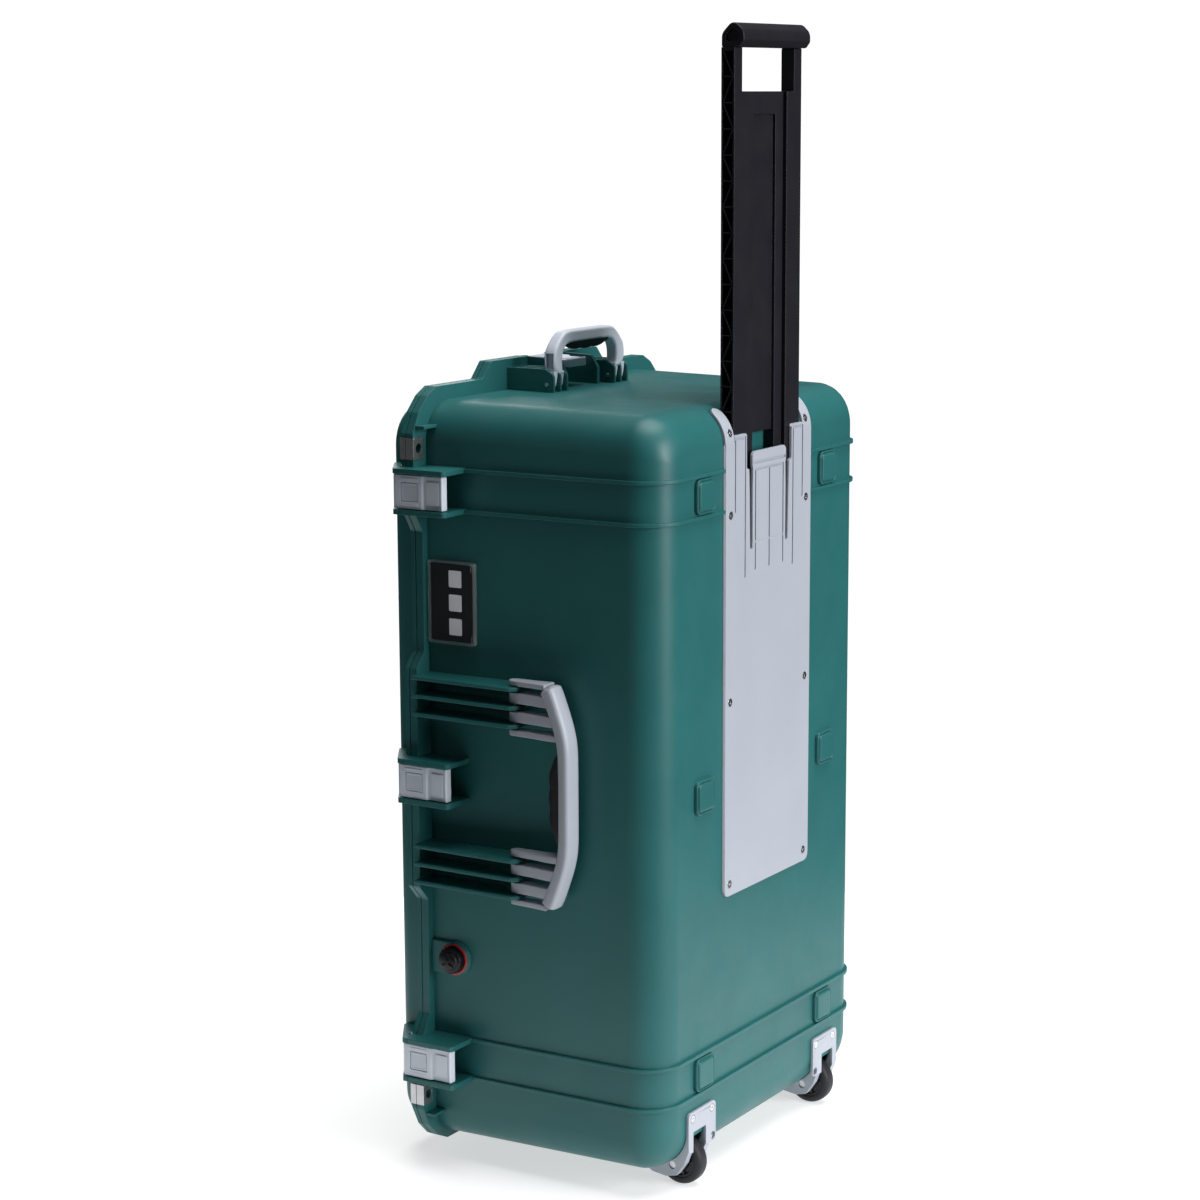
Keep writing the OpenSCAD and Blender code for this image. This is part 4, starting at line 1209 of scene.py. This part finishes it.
def backdrop():
    """White where the camera looks past the case, and a dim cool fill on the case itself."""
    world = bpy.data.worlds.new("studio")
    world.use_nodes = True
    tree = world.node_tree
    white = tree.nodes["Background"]
    white.inputs["Color"].default_value = (1.05, 1.05, 1.05, 1)
    fill = tree.nodes.new("ShaderNodeBackground")
    fill.inputs["Color"].default_value = (0.80, 0.84, 0.88, 1)
    fill.inputs["Strength"].default_value = 0.07
    path = tree.nodes.new("ShaderNodeLightPath")
    mix = tree.nodes.new("ShaderNodeMixShader")
    tree.links.new(path.outputs["Is Camera Ray"], mix.inputs[0])
    tree.links.new(fill.outputs[0], mix.inputs[1])
    tree.links.new(white.outputs[0], mix.inputs[2])
    tree.links.new(mix.outputs[0], tree.nodes["World Output"].inputs[0])
    bpy.context.scene.world = world
    bpy.context.scene.view_settings.view_transform = "Standard"


def ground():
    """A round white floor that glows a little, so that it runs into the backdrop."""
    disc = circle(0, 0, FLOOR_R, 96)
    shape = Shape()
    shape.add([(a, b, 0) for a, b in disc], [range(len(disc))])
    floor = to_mesh("floor", shape)
    paper = Paint("floor_paper")
    paper.link("Base Color", paper.blend(paper.noise(2.0), (0.50, 0.505, 0.51, 1), (0.52, 0.525, 0.53, 1)))
    paper.link("Emission Color", (1.0, 1.0, 1.0, 1))
    paper.link("Emission Strength", 0.58)
    paper.link("Roughness", 0.9)
    floor.data.materials.append(paper.material)


def carried():
    """The CAD nodes that are drawn as they are."""
    for node in ("hinge_pins", "latch_pins", "main_handle_pins", "end_handle_pins", "axle_front",
                 "axle_rear"):
        carry(node, PIN, 0.25)
    for node in ["latch_springs"] + ["button_spring_" + name for name in LATCHES]:
        carry(node, PIN)
    for node in ("base_lock_plates", "lid_lock_plates"):
        carry(node, STEEL, 0.3)
    for node in ("plate_screws", "bracket_screws"):
        carry(node, SCREW, 0.3)
    for node in ("bearings_front", "bearings_rear"):
        carry(node, PIN, 0.3)
    for node in ("bracket_front", "bracket_rear"):
        carry(node, SILVER, 1.0, 3)
    for node in ("trolley_rails", "trolley_web"):
        carry(node, TROLLEY, 0.6)
    carry("lid_seal", SEAL, 0.8)
    carry("valve_nut", VALVE, 0.4)
    carry("valve_membrane", MEMBRANE)
    carry("label_card", CARD, 0.2)


look_camera()
base_tub()
trolley_channel()
wheel_wells()
base_ribs()
base_pads()
base_flange()
base_ledges()
handle_fins()
valve_boss()
lid_tray()
lid_flange()
lid_ledges()
lid_hinge()
for latch_name in LATCHES:
    latch(latch_name)
carry_handle()
end_handle()
plate_panel()
plate_wings()
tab()
trolley_grip()
wheel("front")
wheel("rear")
valve()
label()
carried()
lights()
backdrop()
ground()
